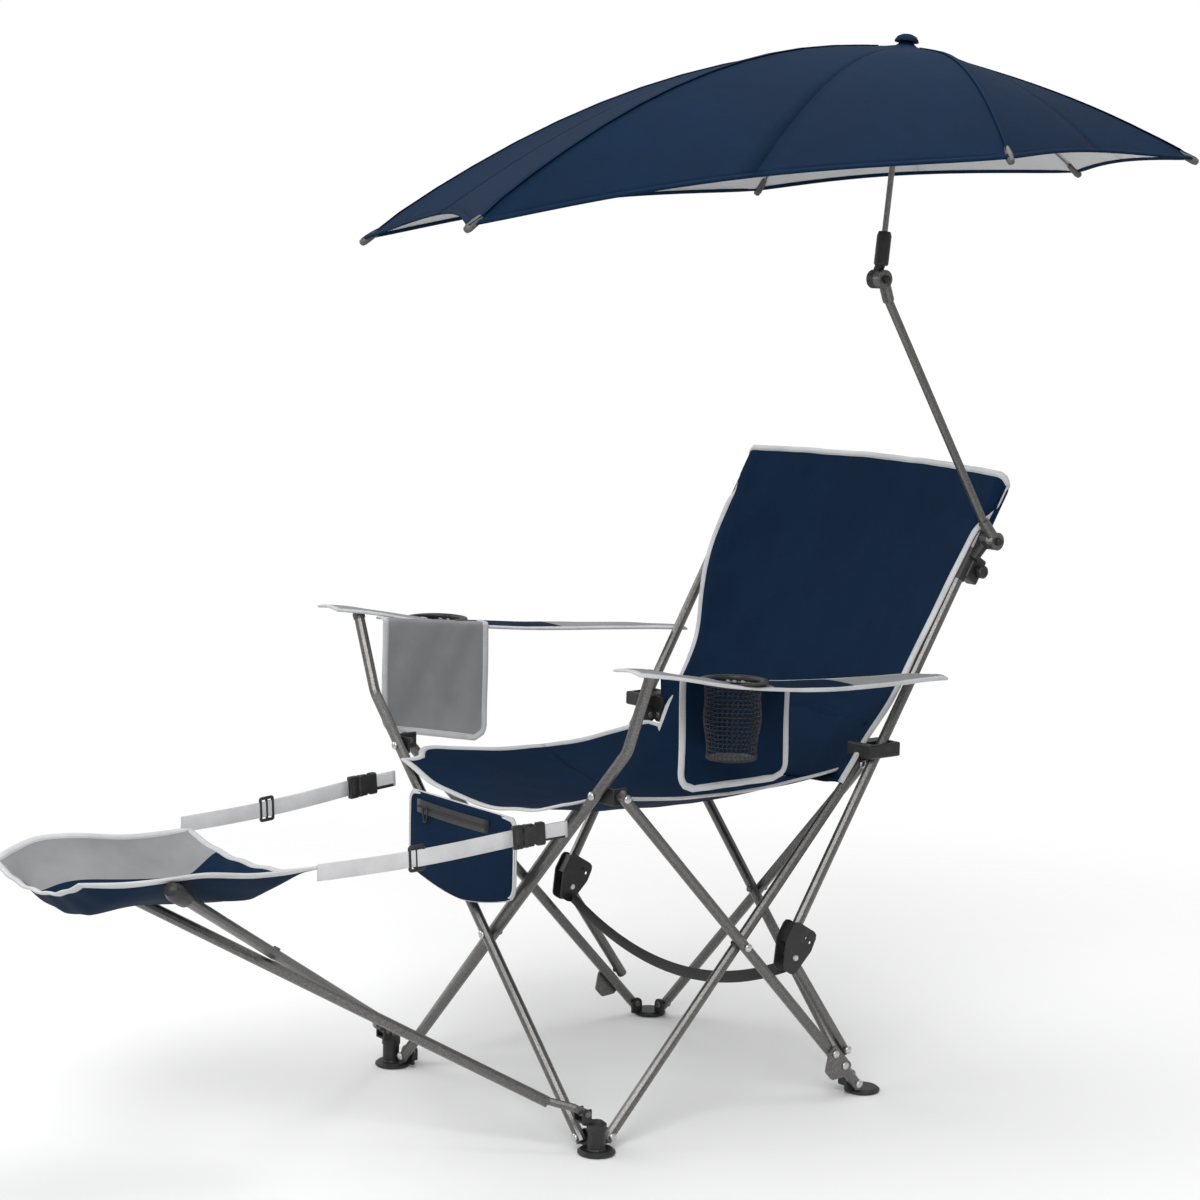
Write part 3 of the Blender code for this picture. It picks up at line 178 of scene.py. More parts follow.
class Graph:
    """The nodes of one material."""

    def __init__(self, name):
        self.material = bpy.data.materials.new(name)
        self.material.use_nodes = True
        self.tree = self.material.node_tree
        self.shader = self.tree.nodes["Principled BSDF"]

    def make(self, kind, settings=None, inputs=None, output=0):
        """Adds a node: its settings first, then the values or wires of its sockets."""
        node = self.tree.nodes.new(kind)
        for key, value in (settings or {}).items():
            if key == "stops":
                while len(node.color_ramp.elements) < len(value):
                    node.color_ramp.elements.new(1)
                for stop, (place, colour) in zip(node.color_ramp.elements, value):
                    stop.position, stop.color = place, colour
            else:
                setattr(node, key, value)
        for key, value in (inputs or {}).items():
            if isinstance(value, Wire):
                self.tree.links.new(value.socket, node.inputs[key])
            else:
                node.inputs[key].default_value = value
        return Wire(self, node.outputs[output])

    def place(self):
        """Where a point is in the object's own metres."""
        return self.make("ShaderNodeTexCoord", output="Object")

    def cloth_place(self):
        """Along and across the cloth, in metres, as stored on the mesh."""
        return self.make("ShaderNodeAttribute", {"attribute_name": "cloth"}, output="Vector")

    def axes(self, vector):
        split = self.make("ShaderNodeSeparateXYZ", None, {0: vector})
        outputs = split.socket.node.outputs
        return [Wire(self, outputs[k]) for k in range(3)]

    def noise(self, vector, scale, detail=3.0, roughness=0.5):
        inputs = {"Vector": vector, "Scale": scale, "Detail": detail, "Roughness": roughness}
        return self.make("ShaderNodeTexNoise", None, inputs)

    def mix(self, share, first, second):
        """Blends two colours: share 0 gives the first."""
        return self.make("ShaderNodeMix", {"data_type": "RGBA"}, {0: share, 6: first, 7: second}, output=2)

    def bump(self, height, strength, distance):
        inputs = {"Height": height, "Strength": strength, "Distance": distance}
        return self.make("ShaderNodeBump", None, inputs)

    def set(self, **values):
        """Links wires to the shader's sockets and sets plain numbers on them."""
        names = {"colour": "Base Color", "roughness": "Roughness", "metallic": "Metallic", "normal": "Normal",
                 "sheen": "Sheen Weight", "sheen_rough": "Sheen Roughness", "specular": "Specular IOR Level",
                 "coat": "Coat Weight", "coat_rough": "Coat Roughness", "alpha": "Alpha"}
        for key, value in values.items():
            socket = self.shader.inputs[names[key]]
            if isinstance(value, Wire):
                self.tree.links.new(value.socket, socket)
            else:
                socket.default_value = value
        return self.material


print("shader language ready")

# %% [markdown]
# The cloth is a plain-woven, matt polyester. A yarn is about half a millimetre
# wide, so the weave is a pair of crossed sine waves that take turns being on top. Larger, slow
# noise gives the faint patches where the coating wore, and raised creases whose hollows are
# painted darker: painted shade.

# %% Woven polyester
YARN = 0.0011


def woven(name, colour, lighter, sheen=0.0, weave=0.35):
    graph = Graph(name)
    along, across, _ = graph.axes(graph.cloth_place())
    turn = 2 * math.pi / YARN
    warp = (along * turn).sine()
    weft = (across * turn).sine()
    over = (warp * weft) * 0.5 + 0.5
    slub = graph.noise(graph.cloth_place(), 900.0, 2.0)
    patches = graph.noise(graph.place(), 7.0, 4.0, 0.6)
    creases = graph.noise(graph.place(), 26.0, 5.0, 0.62)
    # Painted shade: the creases noise also raises the bump, so the cloth is painted darker in the crease
    # hollows; the patches are wear.
    wear_and_crease_shade = (patches * 0.55 + creases * 0.25 + slub * 0.2).between(0.30, 0.72)
    shade = graph.mix(wear_and_crease_shade, colour, lighter)
    yarn_dark = graph.mix(over * 0.12, shade, (colour[0] * 0.35, colour[1] * 0.35, colour[2] * 0.4, 1))
    height = over * weave + creases * 1.6 + slub * 0.2
    rough = patches * 0.12 + 0.66
    return graph.set(colour=yarn_dark, roughness=rough, normal=graph.bump(height, 0.55, 0.0012), sheen=sheen,
                     sheen_rough=0.45, specular=0.07)


NAVY = woven("navy_polyester", (0.0016, 0.0118, 0.0340, 1), (0.0030, 0.0170, 0.0460, 1), 0.0, 0.15)
GREY = woven("grey_polyester", (0.235, 0.240, 0.248, 1), (0.315, 0.320, 0.328, 1), 0.05)
LINING = woven("pale_coated_lining", (0.66, 0.67, 0.68, 1), LINING_PALE, 0.0, 0.15)
print("cloth finishes:", NAVY.name, GREY.name, LINING.name)

# %% [markdown]
# Every raw edge is folded into a pale binding tape and sewn with one row of stitches. The tape
# is ribbed across, so its finish has fine ridges along its length. Its mesh stores the distance
# along the edge and across the tape, which puts the stitches in their row.

# %% Binding tape, webbing and net
def ribbed(name, colour, darker, rib, stitch_at=None):
    graph = Graph(name)
    along, across, _ = graph.axes(graph.cloth_place())
    ridges = (along * (2 * math.pi / rib)).sine() * 0.5 + 0.5
    fibres = graph.noise(graph.cloth_place(), 700.0, 3.0)
    soil = graph.noise(graph.place(), 15.0, 4.0, 0.6)
    shade = graph.mix((soil * 0.6 + fibres * 0.4).between(0.32, 0.7), darker, colour)
    # Painted shade: the tape is painted darker in the grooves between its ridges, where the bump is low.
    shade = graph.mix((1 - ridges) * 0.25, shade, darker)
    height = ridges * 0.5 + fibres * 0.4
    if stitch_at is not None:
        row = 1 - ((across - stitch_at).size() / 0.0006).between(0.6, 1.0)
        dash = 1 - (along / 0.0042).part().above(0.68)
        thread = row * dash
        shade = graph.mix(thread * 0.55, shade, (0.30, 0.30, 0.31, 1))
        height = height - thread * 1.2
    return graph.set(colour=shade, roughness=fibres * 0.15 + 0.68, normal=graph.bump(height, 0.5, 0.0008),
                     sheen=0.2, specular=0.3)


TAPE = ribbed("pale_binding_tape", (0.62, 0.63, 0.64, 1), (0.47, 0.48, 0.49, 1), 0.0016, 0.0068)
WEBBING = ribbed("pale_webbing", (0.66, 0.66, 0.67, 1), (0.50, 0.50, 0.51, 1), 0.0022)
BLACK_WEBBING = ribbed("black_webbing", (0.022, 0.022, 0.024, 1), (0.010, 0.010, 0.011, 1), 0.0020)
NET = ribbed("black_net_yarn", (0.016, 0.017, 0.020, 1), (0.008, 0.008, 0.010, 1), 0.0012)
print("tapes:", TAPE.name, WEBBING.name, BLACK_WEBBING.name)

# %% [markdown]
# The tubes are bent steel with a grey hammered powder coat, a little brighter where hands and
# folding rub it. The fittings are black glass-filled nylon, which shows a fine grain and stays
# duller in its hollows. Rivets are bare zinc-plated steel.

# %% Coated steel, nylon and rivets
def coated_steel(name, colour, rubbed, roughness):
    graph = Graph(name)
    place = graph.place()
    drops = graph.noise(place, 420.0, 3.0, 0.6)
    flow = graph.noise(place, 18.0, 3.0)
    shade = graph.mix(drops.between(0.35, 0.72), colour, rubbed)
    rough = flow * 0.16 + drops * 0.10 + roughness
    grain = graph.bump(drops + flow * 0.5, 0.18, 0.0006)
    return graph.set(colour=shade, roughness=rough, metallic=0.75, normal=grain, coat=0.25, coat_rough=0.3)


def moulded(name, colour, paler, roughness=0.42):
    graph = Graph(name)
    place = graph.place()
    grain = graph.noise(place, 1500.0, 2.0)
    marks = graph.noise(place, 60.0, 4.0, 0.65)
    shade = graph.mix(marks.between(0.45, 0.75), colour, paler)
    return graph.set(colour=shade, roughness=marks * 0.2 + grain * 0.1 + roughness - 0.12,
                     normal=graph.bump(grain + marks * 0.4, 0.22, 0.0004), specular=0.45)


def plated(name, colour, roughness):
    graph = Graph(name)
    scratches = graph.noise(graph.place(), 900.0, 4.0, 0.7)
    shade = graph.mix(scratches, colour, (colour[0] * 0.75, colour[1] * 0.75, colour[2] * 0.75, 1))
    return graph.set(colour=shade, roughness=scratches * 0.2 + roughness, metallic=1.0,
                     normal=graph.bump(scratches, 0.1, 0.0003))


STEEL = coated_steel("hammered_grey_coat", (0.105, 0.103, 0.100, 1), (0.20, 0.195, 0.19, 1), 0.24)
RIB_STEEL = coated_steel("rib_steel", (0.17, 0.17, 0.17, 1), (0.27, 0.27, 0.27, 1), 0.22)
NYLON = moulded("black_nylon", (0.014, 0.014, 0.015, 1), (0.028, 0.028, 0.030, 1))
TIP_NYLON = moulded("grey_nylon", (0.085, 0.083, 0.080, 1), (0.14, 0.138, 0.135, 1))
ZINC = plated("zinc_plate", (0.66, 0.66, 0.66, 1), 0.22)
print("hard finishes:", STEEL.name, NYLON.name, ZINC.name)

# %% [markdown]
# Each CAD node that stays visible gets one of those finishes, chosen by what the part is made
# of. The cloth nodes are left out: sewn pieces replace them further down.

# %% Dress the rigid nodes
BY_PREFIX = [
    (("foot_", "front_corner", "rear_corner", "knee_bracket", "footrest_swivel", "strap_buckle",
      "umbrella_clamp", "knuckle", "shaft_sleeve", "canopy_runner"), NYLON),
    (("knee_rivet",), ZINC),
    (("rib_", "stretcher_", "canopy_shaft"), RIB_STEEL),
    (("front_tube", "side_tube", "rear_tube", "back_post", "recline_strut", "footrest_leg",
      "umbrella_arm"), STEEL),
]
dressed = 0
for name, node in NODES.items():
    for prefixes, finish in BY_PREFIX:
        if name.startswith(prefixes):
            node.data.materials.clear()
            node.data.materials.append(finish)
            dressed += 1
            break
print("dressed", dressed, "nodes")

# %% [markdown]
# All the cloth here is built the same way: rows of points make a fine grid, the grid gets a
# small thickness, and each point remembers how far along and across the cloth it lies. That
# memory is what the weave is drawn from, so it follows the cloth and not the room.

# %% Sheets of cloth from rows of points
def smooth_value(stations, at):
    """A smooth curve through stations of (place, value, value, ...)."""
    for k in range(len(stations) - 1):
        if at <= stations[k + 1][0] or k == len(stations) - 2:
            break
    one, two = stations[k], stations[k + 1]
    before, after = stations[max(k - 1, 0)], stations[min(k + 2, len(stations) - 1)]
    span = two[0] - one[0]
    t = min(1.0, max(0.0, (at - one[0]) / span))
    values = []
    for a, b, c, d, xa, xd in zip(before[1:], one[1:], two[1:], after[1:], [before[0]] * 9, [after[0]] * 9):
        rise_one = (c - a) / max(two[0] - xa, 1e-9) * span
        rise_two = (d - b) / max(xd - one[0], 1e-9) * span
        values.append((2 * t ** 3 - 3 * t ** 2 + 1) * b + (t ** 3 - 2 * t ** 2 + t) * rise_one
                      + (3 * t ** 2 - 2 * t ** 3) * c + (t ** 3 - t ** 2) * rise_two)
    return values if len(values) > 1 else values[0]


def shares(count, low=0.0, high=1.0):
    return [low + (high - low) * k / (count - 1) for k in range(count)]


def eased(share):
    """0 to 1 with a soft start and end."""
    share = max(0.0, min(1.0, share))
    return share * share * (3 - 2 * share)


def store_cloth(mesh, values):
    attribute = mesh.attributes.new("cloth", "FLOAT_VECTOR", "POINT")
    attribute.data.foreach_set("vector", [c for value in values for c in (*value, 0.0)])


def place_object(name, mesh, finishes):
    obj = bpy.data.objects.new(name, mesh)
    for finish in finishes:
        mesh.materials.append(finish)
    mesh.shade_smooth()
    bpy.context.scene.collection.objects.link(obj)
    return obj


def settle(obj):
    """Replaces the mesh with what its modifiers make."""
    bpy.context.view_layer.update()
    graph = bpy.context.evaluated_depsgraph_get()
    shown = obj.evaluated_get(graph)
    made = bpy.data.meshes.new_from_object(shown, preserve_all_data_layers=True, depsgraph=graph)
    obj.modifiers.clear()
    old, obj.data = obj.data, made
    bpy.data.meshes.remove(old)
    obj.data.name = obj.name
    return obj


def grid_mesh(name, rows):
    """A mesh from rows of points, and the cloth distances of its points."""
    bm = bmesh.new()
    grid = [[bm.verts.new(Vector(p) + SHIFT) for p in row] for row in rows]
    for one, two in zip(grid, grid[1:]):
        for k in range(len(one) - 1):
            bm.faces.new((one[k], two[k], two[k + 1], one[k + 1]))
    bm.normal_update()
    mesh = bpy.data.meshes.new(name)
    bm.to_mesh(mesh)
    bm.free()
    middle = len(rows[0]) // 2
    along = [0.0]
    for one, two in zip(rows, rows[1:]):
        along.append(along[-1] + (Vector(two[middle]) - Vector(one[middle])).length)
    values = []
    for j, row in enumerate(rows):
        reach = [0.0]
        for one, two in zip(row, row[1:]):
            reach.append(reach[-1] + (Vector(two) - Vector(one)).length)
        values += [(along[j], r - reach[middle]) for r in reach]
    store_cloth(mesh, values)
    return mesh


def sheet_area(mesh):
    return sum(face.area for face in mesh.polygons)


def cut_hole(mesh, centre, radius):
    """Takes out the faces inside a round hole that is seen from above."""
    bm = bmesh.new()
    bm.from_mesh(mesh)
    middle = centre + SHIFT
    doomed = [f for f in bm.faces if (f.calc_center_median() - middle).to_2d().length < radius * 0.97]
    bmesh.ops.delete(bm, geom=doomed, context="FACES")
    bm.to_mesh(mesh)
    bm.free()


def path_length(points):
    return sum((Vector(b) - Vector(a)).length for a, b in zip(points, points[1:]))


def sewn_sheet(name, rows, thickness, finishes, body, replaced=(), tone=None,
               swap=None, hole=None):
    """Cloth from rows: thickened, toned face by face and set on its body."""
    mesh = grid_mesh(name, rows)
    wide = max(path_length(row) for row in rows)
    columns = (0, len(rows[0]) // 2, -1)
    long = max(path_length([row[k] for row in rows]) for k in columns)
    if tone:
        per_row = len(rows[0]) - 1
        for face in mesh.polygons:
            face.material_index = tone(face.index // per_row, face.index % per_row)
    if hole:
        cut_hole(mesh, *hole)
    area = sheet_area(mesh)
    long = max(long, area / wide)
    count = len(mesh.polygons)
    obj = place_object(name, mesh, finishes)
    thick = obj.modifiers.new("thickness", "SOLIDIFY")
    thick.thickness, thick.offset = thickness, 0
    settle(obj)
    if swap:
        for face in obj.data.polygons:
            if face.index < 2 * count and face.normal.dot(swap[0]) < 0:
                face.material_index = swap[1]
    if replaced:
        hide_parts(*replaced)
    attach(obj, body)
    print(name, "is cut", round(wide, 3), "by", round(long, 3), "m, area", round(area, 3), "m2")
    return obj


# %% [markdown]
# The binding tape is swept round the cloth's outer edge. At each edge point the direction into
# the cloth and the cloth's normal give the plane of the tape's section, a flat loop folded
# round the raw edge.

# %% Binding round an edge
TAPE_SECTION = [(-0.0017, 0.0), (-0.0008, 0.0017), (0.0035, 0.0022), (0.0080, 0.0019), (0.0088, 0.0008),
                (0.0088, -0.0008), (0.0080, -0.0019), (0.0035, -0.0022), (-0.0008, -0.0017)]


def edge_frames(rows, sides):
    """Points of the cloth's edge, with the way into the cloth at each. "u" leaves out the last row."""
    high, wide = len(rows) - 1, len(rows[0]) - 1
    if sides == "all":
        walk = [(0, k) for k in range(wide)] + [(j, wide) for j in range(high)]
        walk += [(high, k) for k in range(wide, 0, -1)] + [(j, 0) for j in range(high, 0, -1)]
    elif sides == "u":
        walk = [(j, 0) for j in range(high, 0, -1)] + [(0, k) for k in range(wide)]
        walk += [(j, wide) for j in range(high + 1)]
    else:
        walk = [(high, k) for k in range(wide + 1)]
    frames = []
    for j, k in walk:
        point = Vector(rows[j][k])
        column = k if sides == "end" else min(max(k, 1), wide - 1)
        frames.append((point, Vector(rows[min(max(j, 1), high - 1)][column]) - point))
    return frames, sides == "all"


def binding(name, rows, sides, body, finish=TAPE, scale=1.0):
    """Tape folded round the edge of a sheet made of rows."""
    frames, loop = edge_frames(rows, sides)
    count = len(frames)
    rings, values, run = [], [], 0.0
    for k, (point, inward) in enumerate(frames):
        before = frames[k - 1][0] if loop or k else point
        after = frames[(k + 1) % count][0] if loop or k < count - 1 else point
        ahead = (after - before).normalized()
        inward = inward - ahead * inward.dot(ahead)
        if inward.length < 1e-6:
            inward = Vector(rings[-1][2]) if rings else X
        inward = inward.normalized()
        rings.append((point, ahead.cross(inward).normalized(), inward))
        run += (point - frames[k - 1][0]).length if k else 0.0
        values.append(run)
    for _ in range(2):
        softened = []
        for k, (point, normal, inward) in enumerate(rings):
            spots = [(k + s) % count if loop else min(max(k + s, 0), count - 1) for s in (-1, 1)]
            one, two = (rings[spot] for spot in spots)
            normal = (normal * 2 + one[1] + two[1]).normalized()
            softened.append((point, normal, (inward * 2 + one[2] + two[2]).normalized()))
        rings = softened
    bm = bmesh.new()
    loops, stored = [], []
    for (point, normal, inward), along in zip(rings, values):
        section = [point + inward * (a * scale) + normal * (b * scale) + SHIFT for a, b in TAPE_SECTION]
        loops.append([bm.verts.new(p) for p in section])
        stored += [(along, a) for a, _ in TAPE_SECTION]
    size = len(TAPE_SECTION)
    for j in range(count if loop else count - 1):
        one, two = loops[j], loops[(j + 1) % count]
        for k in range(size):
            bm.faces.new((one[k], one[(k + 1) % size], two[(k + 1) % size], two[k]))
    if not loop:
        bm.faces.new(loops[0])
        bm.faces.new(list(reversed(loops[-1])))
    bmesh.ops.recalc_face_normals(bm, faces=bm.faces)
    mesh = bpy.data.meshes.new(name)
    bm.to_mesh(mesh)
    bm.free()
    store_cloth(mesh, stored)
    obj = place_object(name, mesh, [finish])
    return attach(obj, body)


print("sewing helpers ready")

# %% [markdown]
# The back is one panel of cloth stretched in front of the two back posts. It hangs hollow
# between them, is widest at the shoulders and narrows to the seat. Its crown is a low arch. At
# the top its edges wrap round the posts, and small pulls run in from there. It is bound along
# the crown and both sides.

# %% Back panel
NEAR_WIDTHS = [(-0.070, 0.256), (-0.02, 0.263), (0.06, 0.269), (0.14, 0.273), (0.20, 0.276), (0.30, 0.280),
               (0.40, 0.286), (0.440, 0.287)]
FAR_WIDTHS = [(-0.070, 0.205), (-0.02, 0.213), (0.06, 0.228), (0.14, 0.240), (0.20, 0.256), (0.27, 0.276),
              (0.34, 0.284), (0.440, 0.287)]
WRAP_FROM = 0.88


def post_x(run):
    return 0.2668 + 0.01745 * (run + 0.333)


def back_point(run, u):
    """The panel lies hollow between the posts, and its ears wrap round their tops."""
    edge = abs(u)
    crown = eased((run - 0.34) / 0.10)
    foot = eased((0.085 - run) / 0.10)
    cover = eased((run - 0.355) / 0.045)
    half = smooth_value(NEAR_WIDTHS if u > 0 else FAR_WIDTHS, run)
    hollow = 0.045 - 0.015 * crown - 0.018 * foot
    set_back = 0.0 if u > 0 else 0.022 * edge ** 2 * eased((0.24 - run) / 0.14)
    flat_x = half * edge
    flat_depth = 0.0115 - hollow * (1 - min(1.0, edge / 0.94) ** 2.5) - set_back + 0.012 * foot * edge
    turn = max(0.0, edge - WRAP_FROM) / (1 - WRAP_FROM) * math.pi * 0.66
    wrap_x = post_x(run) * min(1.0, edge / WRAP_FROM) + math.sin(turn) * 0.0120
    wrap_depth = 0.0120 * math.cos(turn) - hollow * (1 - min(1.0, edge / WRAP_FROM) ** 2.5)
    x = flat_x + (wrap_x - flat_x) * cover
    depth = flat_depth + (wrap_depth - flat_depth) * cover
    pull = math.sin((run * 9 + edge * 3.0) * 6.0) * 0.0016 * edge ** 2
    pull += math.sin(u * 31 + run * 14) * 0.0006 + math.sin(u * 13 - run * 21) * 0.0010
    pull += 0.0022 * math.sin((1 - edge) * 26) * crown * edge ** 3
    pull *= min(1.0, (1 - edge) * 8) * (1 - cover * eased((edge - 0.72) / 0.14))
    lift = crown * (0.017 + 0.030 * (1 - edge ** 2.2)) - 0.006 * crown * eased((edge - 0.93) / 0.07)
    return POST_BASE + POST_DIR * (run + lift) + X * math.copysign(x, u) + POST_FRONT * (depth + pull)


BACK_U = [math.copysign(1 - (1 - abs(v)) ** 1.25, v) for v in shares(57, -1, 1)]
back_rows = [[back_point(run, u) for u in BACK_U] for run in shares(60, -0.070, 0.440)]
sewn_sheet("back_sling", back_rows, 0.0018, [NAVY], "left_post", ["back_panel"])
binding("back_sling_binding", list(reversed(back_rows)), "u", "left_post")

# %% [markdown]
# On the back of the panel a sewn sleeve closes over the top of each post, so the panel can't
# slide down. It is a shallow arch of the same cloth, sewn to the panel along both sides.

# %% Post sleeves
SLEEVE_ENDS = [(0.335 + 0.0105 * k, 1.0) for k in range(11)]
SLEEVE_ENDS += [(0.4475, 0.93), (0.4515, 0.72), (0.4535, 0.42), (0.4540, 0.12)]
SLEEVE_HALF, SLEEVE_BEHIND, SLEEVE_DEPTH, SLEEVE_TURN = 0.0138, 0.0122, 0.0118, math.pi * 0.62


def sleeve_rows(side):
    """Arches up the post, each with its place along it and its size, down to nothing at the top."""
    rows = []
    for run, closing in SLEEVE_ENDS:
        row = []
        for turn in shares(15, -SLEEVE_TURN, SLEEVE_TURN):
            x = side * (post_x(run) + math.sin(turn) * SLEEVE_HALF * closing)
            behind = ((1 - math.cos(turn)) * SLEEVE_DEPTH - SLEEVE_BEHIND) * closing
            row.append(POST_BASE + POST_DIR * run + X * x + POST_FRONT * behind)
        rows.append(row)
    return rows


for side, word in SIDES:
    sewn_sheet("post_sleeve_" + word, sleeve_rows(side), 0.0014, [NAVY], word + "_post")

# %% [markdown]
# The seat is slung from its four corners. It sags in the middle and climbs to the corner
# fittings in front and behind. In the CAD it is two nodes hinged at the corners, so that it can
# drop to a V as the chair closes, and the cloth follows that split with a seam in the middle.

# %% Seat sling
SEAT_LOW, SEAT_RISE, SEAT_EDGE = 0.436, 0.050, 0.235


def seat_point(x, y):
    across = min(1.0, abs(x) / SEAT_EDGE)
    along = max(-1.0, min(1.0, y / 0.25))
    lift = (0.018 if along > 0 else 0.020) * along ** 2
    ripple = math.sin(x * 46 + y * 9) * 0.0010 + math.sin(y * 38 - x * 12) * 0.0012
    ripple += math.sin((abs(x) * 1.2 - abs(y)) * 60) * 0.0014 * across
    return Vector((x, y, SEAT_LOW + lift + SEAT_RISE * across ** 2 + ripple * (1 - across ** 6)))


FRONT_SEAT = [(-0.284, 0.198), (-0.262, 0.198), (-0.243, 0.205), (-0.2402, 0.2155), (-0.214, 0.229),
              (-0.165, 0.232), (-0.11, 0.233), (-0.055, 0.233), (-0.0003, 0.233)]
REAR_SEAT = [(0.0003, 0.233), (0.055, 0.233), (0.11, 0.233), (0.165, 0.233), (0.205, 0.233), (0.222, 0.228),
             (0.236, 0.205)]
PULL_IN = 0.010


def seat_rows(stations, count):
    rows = []
    for y in shares(count, stations[0][0], stations[-1][0]):
        half = smooth_value(stations, y)
        if -0.20 < y < 0.20:
            half -= PULL_IN * math.cos(y / 0.20 * math.pi / 2)
        rows.append([seat_point(half * u, y) for u in shares(45, -1, 1)])
    return rows


front_rows = seat_rows(FRONT_SEAT, 34)
rear_rows = seat_rows(REAR_SEAT, 28)
sewn_sheet("seat_sling_front_half", front_rows, 0.0020, [NAVY], "seat_front",
           ["seat_sling_front"])
sewn_sheet("seat_sling_rear_half", rear_rows, 0.0020, [NAVY], "seat_rear",
           ["seat_sling_rear"])
binding("seat_front_binding", front_rows, "u", "seat_front")
binding("seat_rear_binding", list(reversed(rear_rows)), "u", "seat_rear")

# %% [markdown]
# On the real chair the seat and the back are one length of cloth. Here they ride on different
# bodies, so a skirt closes the gap: it starts at the seat's rear edge and rises behind the back
# panel, which slides over it as the back moves.

# %% Skirt behind the seat
SKIRT_LOW, SKIRT_HIGH = (0.212, 0.2345, 0.4535), (0.242, 0.2525, 0.568)


def skirt_point(share, u):
    """share runs from the seat's edge, SKIRT_LOW, to the free edge: half width, y and z of each."""
    x = (SKIRT_LOW[0] + (SKIRT_HIGH[0] - SKIRT_LOW[0]) * share) * u
    low = Vector((x, SKIRT_LOW[1], SKIRT_LOW[2] + SEAT_RISE * min(1.0, abs(x) / SEAT_EDGE) ** 2))
    high = Vector((x, SKIRT_HIGH[1] + 0.0465 * (1 - abs(u) ** 2.4), SKIRT_HIGH[2] - 0.004 * u * u))
    belly = math.sin(share * math.pi) * 0.010 * (1 - u * u)
    ripple = math.sin(x * 70 + share * 4) * 0.0012 * math.sin(share * math.pi)
    return low.lerp(high, share) + Y * (belly + ripple)


skirt_rows = [[skirt_point(share, u) for u in shares(41, -1, 1)] for share in shares(14)]
sewn_sheet("seat_skirt", skirt_rows, 0.0016, [NAVY], "seat_rear")

# %% [markdown]
# Each armrest is a padded band from the arm post to the back post, grey at both ends and navy
# in the middle. It is widest over the cup holder, where a hole is cut for the cup's black rim,
# and it ends in a narrow tab at the back.

# %% Armrest bands
ARM_STATIONS = [(0.00, 0.338, 0.392, 0.704), (0.08, 0.320, 0.408, 0.6975), (0.25, 0.312, 0.404, 0.676),
                (0.50, 0.304, 0.394, 0.657), (0.78, 0.294, 0.362, 0.646), (0.90, 0.2842, 0.340, 0.642),
                (1.00, 0.2842, 0.318, 0.636)]
CUP_R, CUP_SHARE, CUP_DEPTH = 0.0405, 0.30, 0.1045
NAVY_FROM, NAVY_TO = 0.36, 0.62
ARM_LENGTH, ARM_FRONT, ARM_ROWS = 0.650, -0.309, 90


def arm_point(side, share, u):
    inner, outer, z = smooth_value(ARM_STATIONS, share)
    crown = 0.003 * u * u
    ripple = math.sin(share * 38 + u * 2) * 0.0007 * (1 - u * u)
    x = (inner + outer) / 2 + (outer - inner) / 2 * u
    return Vector((side * x, ARM_FRONT + ARM_LENGTH * share, z - crown + ripple))


def arm_rows(side):
    return [[arm_point(side, share, u) for u in shares(19, -1, 1)] for share in shares(ARM_ROWS)]


def cup_centre(side):
    return arm_point(side, CUP_SHARE, 0)


def open_hole(rows, centre, radius):
    """Rows of points with the ones near a hole's edge moved onto it."""
    moved = []
    for row in rows:
        line = []
        for p in row:
            out = Vector((p.x - centre.x, p.y - centre.y, 0))
            if radius * 0.90 < out.length < radius * 1.06:
                p = Vector((centre.x, centre.y, p.z)) + out.normalized() * radius
            line.append(p)
        moved.append(line)
    return moved


def arm_tone(j, _k):
    return 0 if NAVY_FROM < j / (ARM_ROWS - 1) < NAVY_TO else 1


for side, word in SIDES:
    cup = cup_centre(side)
    rows = open_hole(arm_rows(side), cup, CUP_R)
    sewn_sheet("armrest_band_" + word, rows, 0.0036, [NAVY, GREY], word + "_arm_band",
               ["armrest_" + word], tone=arm_tone, hole=(cup, CUP_R))
    binding("armrest_binding_" + word, rows, "all", word + "_arm_band")

# %% [markdown]
# The cup holder is a net bag under a stiff black rim. The net is real yarn, made by turning the
# edges of a tapering tube of quads into thin strands, with a closed disc of cloth below.

# %% Net cup holders
def ring_mesh(name, loops, stored, closed_path=False, caps=False):
    bm = bmesh.new()
    made = [[bm.verts.new(Vector(p) + SHIFT) for p in loop] for loop in loops]
    size = len(loops[0])
    for j in range(len(made) if closed_path else len(made) - 1):
        one, two = made[j], made[(j + 1) % len(made)]
        for k in range(size):
            bm.faces.new((one[k], one[(k + 1) % size], two[(k + 1) % size], two[k]))
    if caps:
        bm.faces.new(list(reversed(made[0])))
        bm.faces.new(made[-1])
    bmesh.ops.recalc_face_normals(bm, faces=bm.faces)
    mesh = bpy.data.meshes.new(name)
    bm.to_mesh(mesh)
    bm.free()
    store_cloth(mesh, stored)
    return mesh


def circle(centre, radius, height, count, axes=(X, Y, Z), twist=0.0):
    u, v, w = axes
    turns = [2 * math.pi * (k + twist) / count for k in range(count)]
    return [centre + u * radius * math.cos(t) + v * radius * math.sin(t) + w * height for t in turns]


def rim_ring(name, centre, radius, body):
    """A flat rolled rim, made by sweeping a rounded section round the hole."""
    section = [(-0.0022, -0.0030), (-0.0022, 0.0030), (-0.0008, 0.0046), (0.0030, 0.0050), (0.0086, 0.0040),
               (0.0094, 0.0022), (0.0030, 0.0022), (0.0006, 0.0010), (0.0006, -0.0030)]
    loops, stored, around = [], [], 48
    for k in range(around):
        turn = 2 * math.pi * k / around
        out = X * math.cos(turn) + Y * math.sin(turn)
        loops.append([centre + out * (radius + a) + Z * b for a, b in section])
        stored += [(turn * radius, a) for a, _ in section]
    obj = place_object(name, ring_mesh(name, loops, stored, closed_path=True), [NYLON])
    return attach(obj, body)


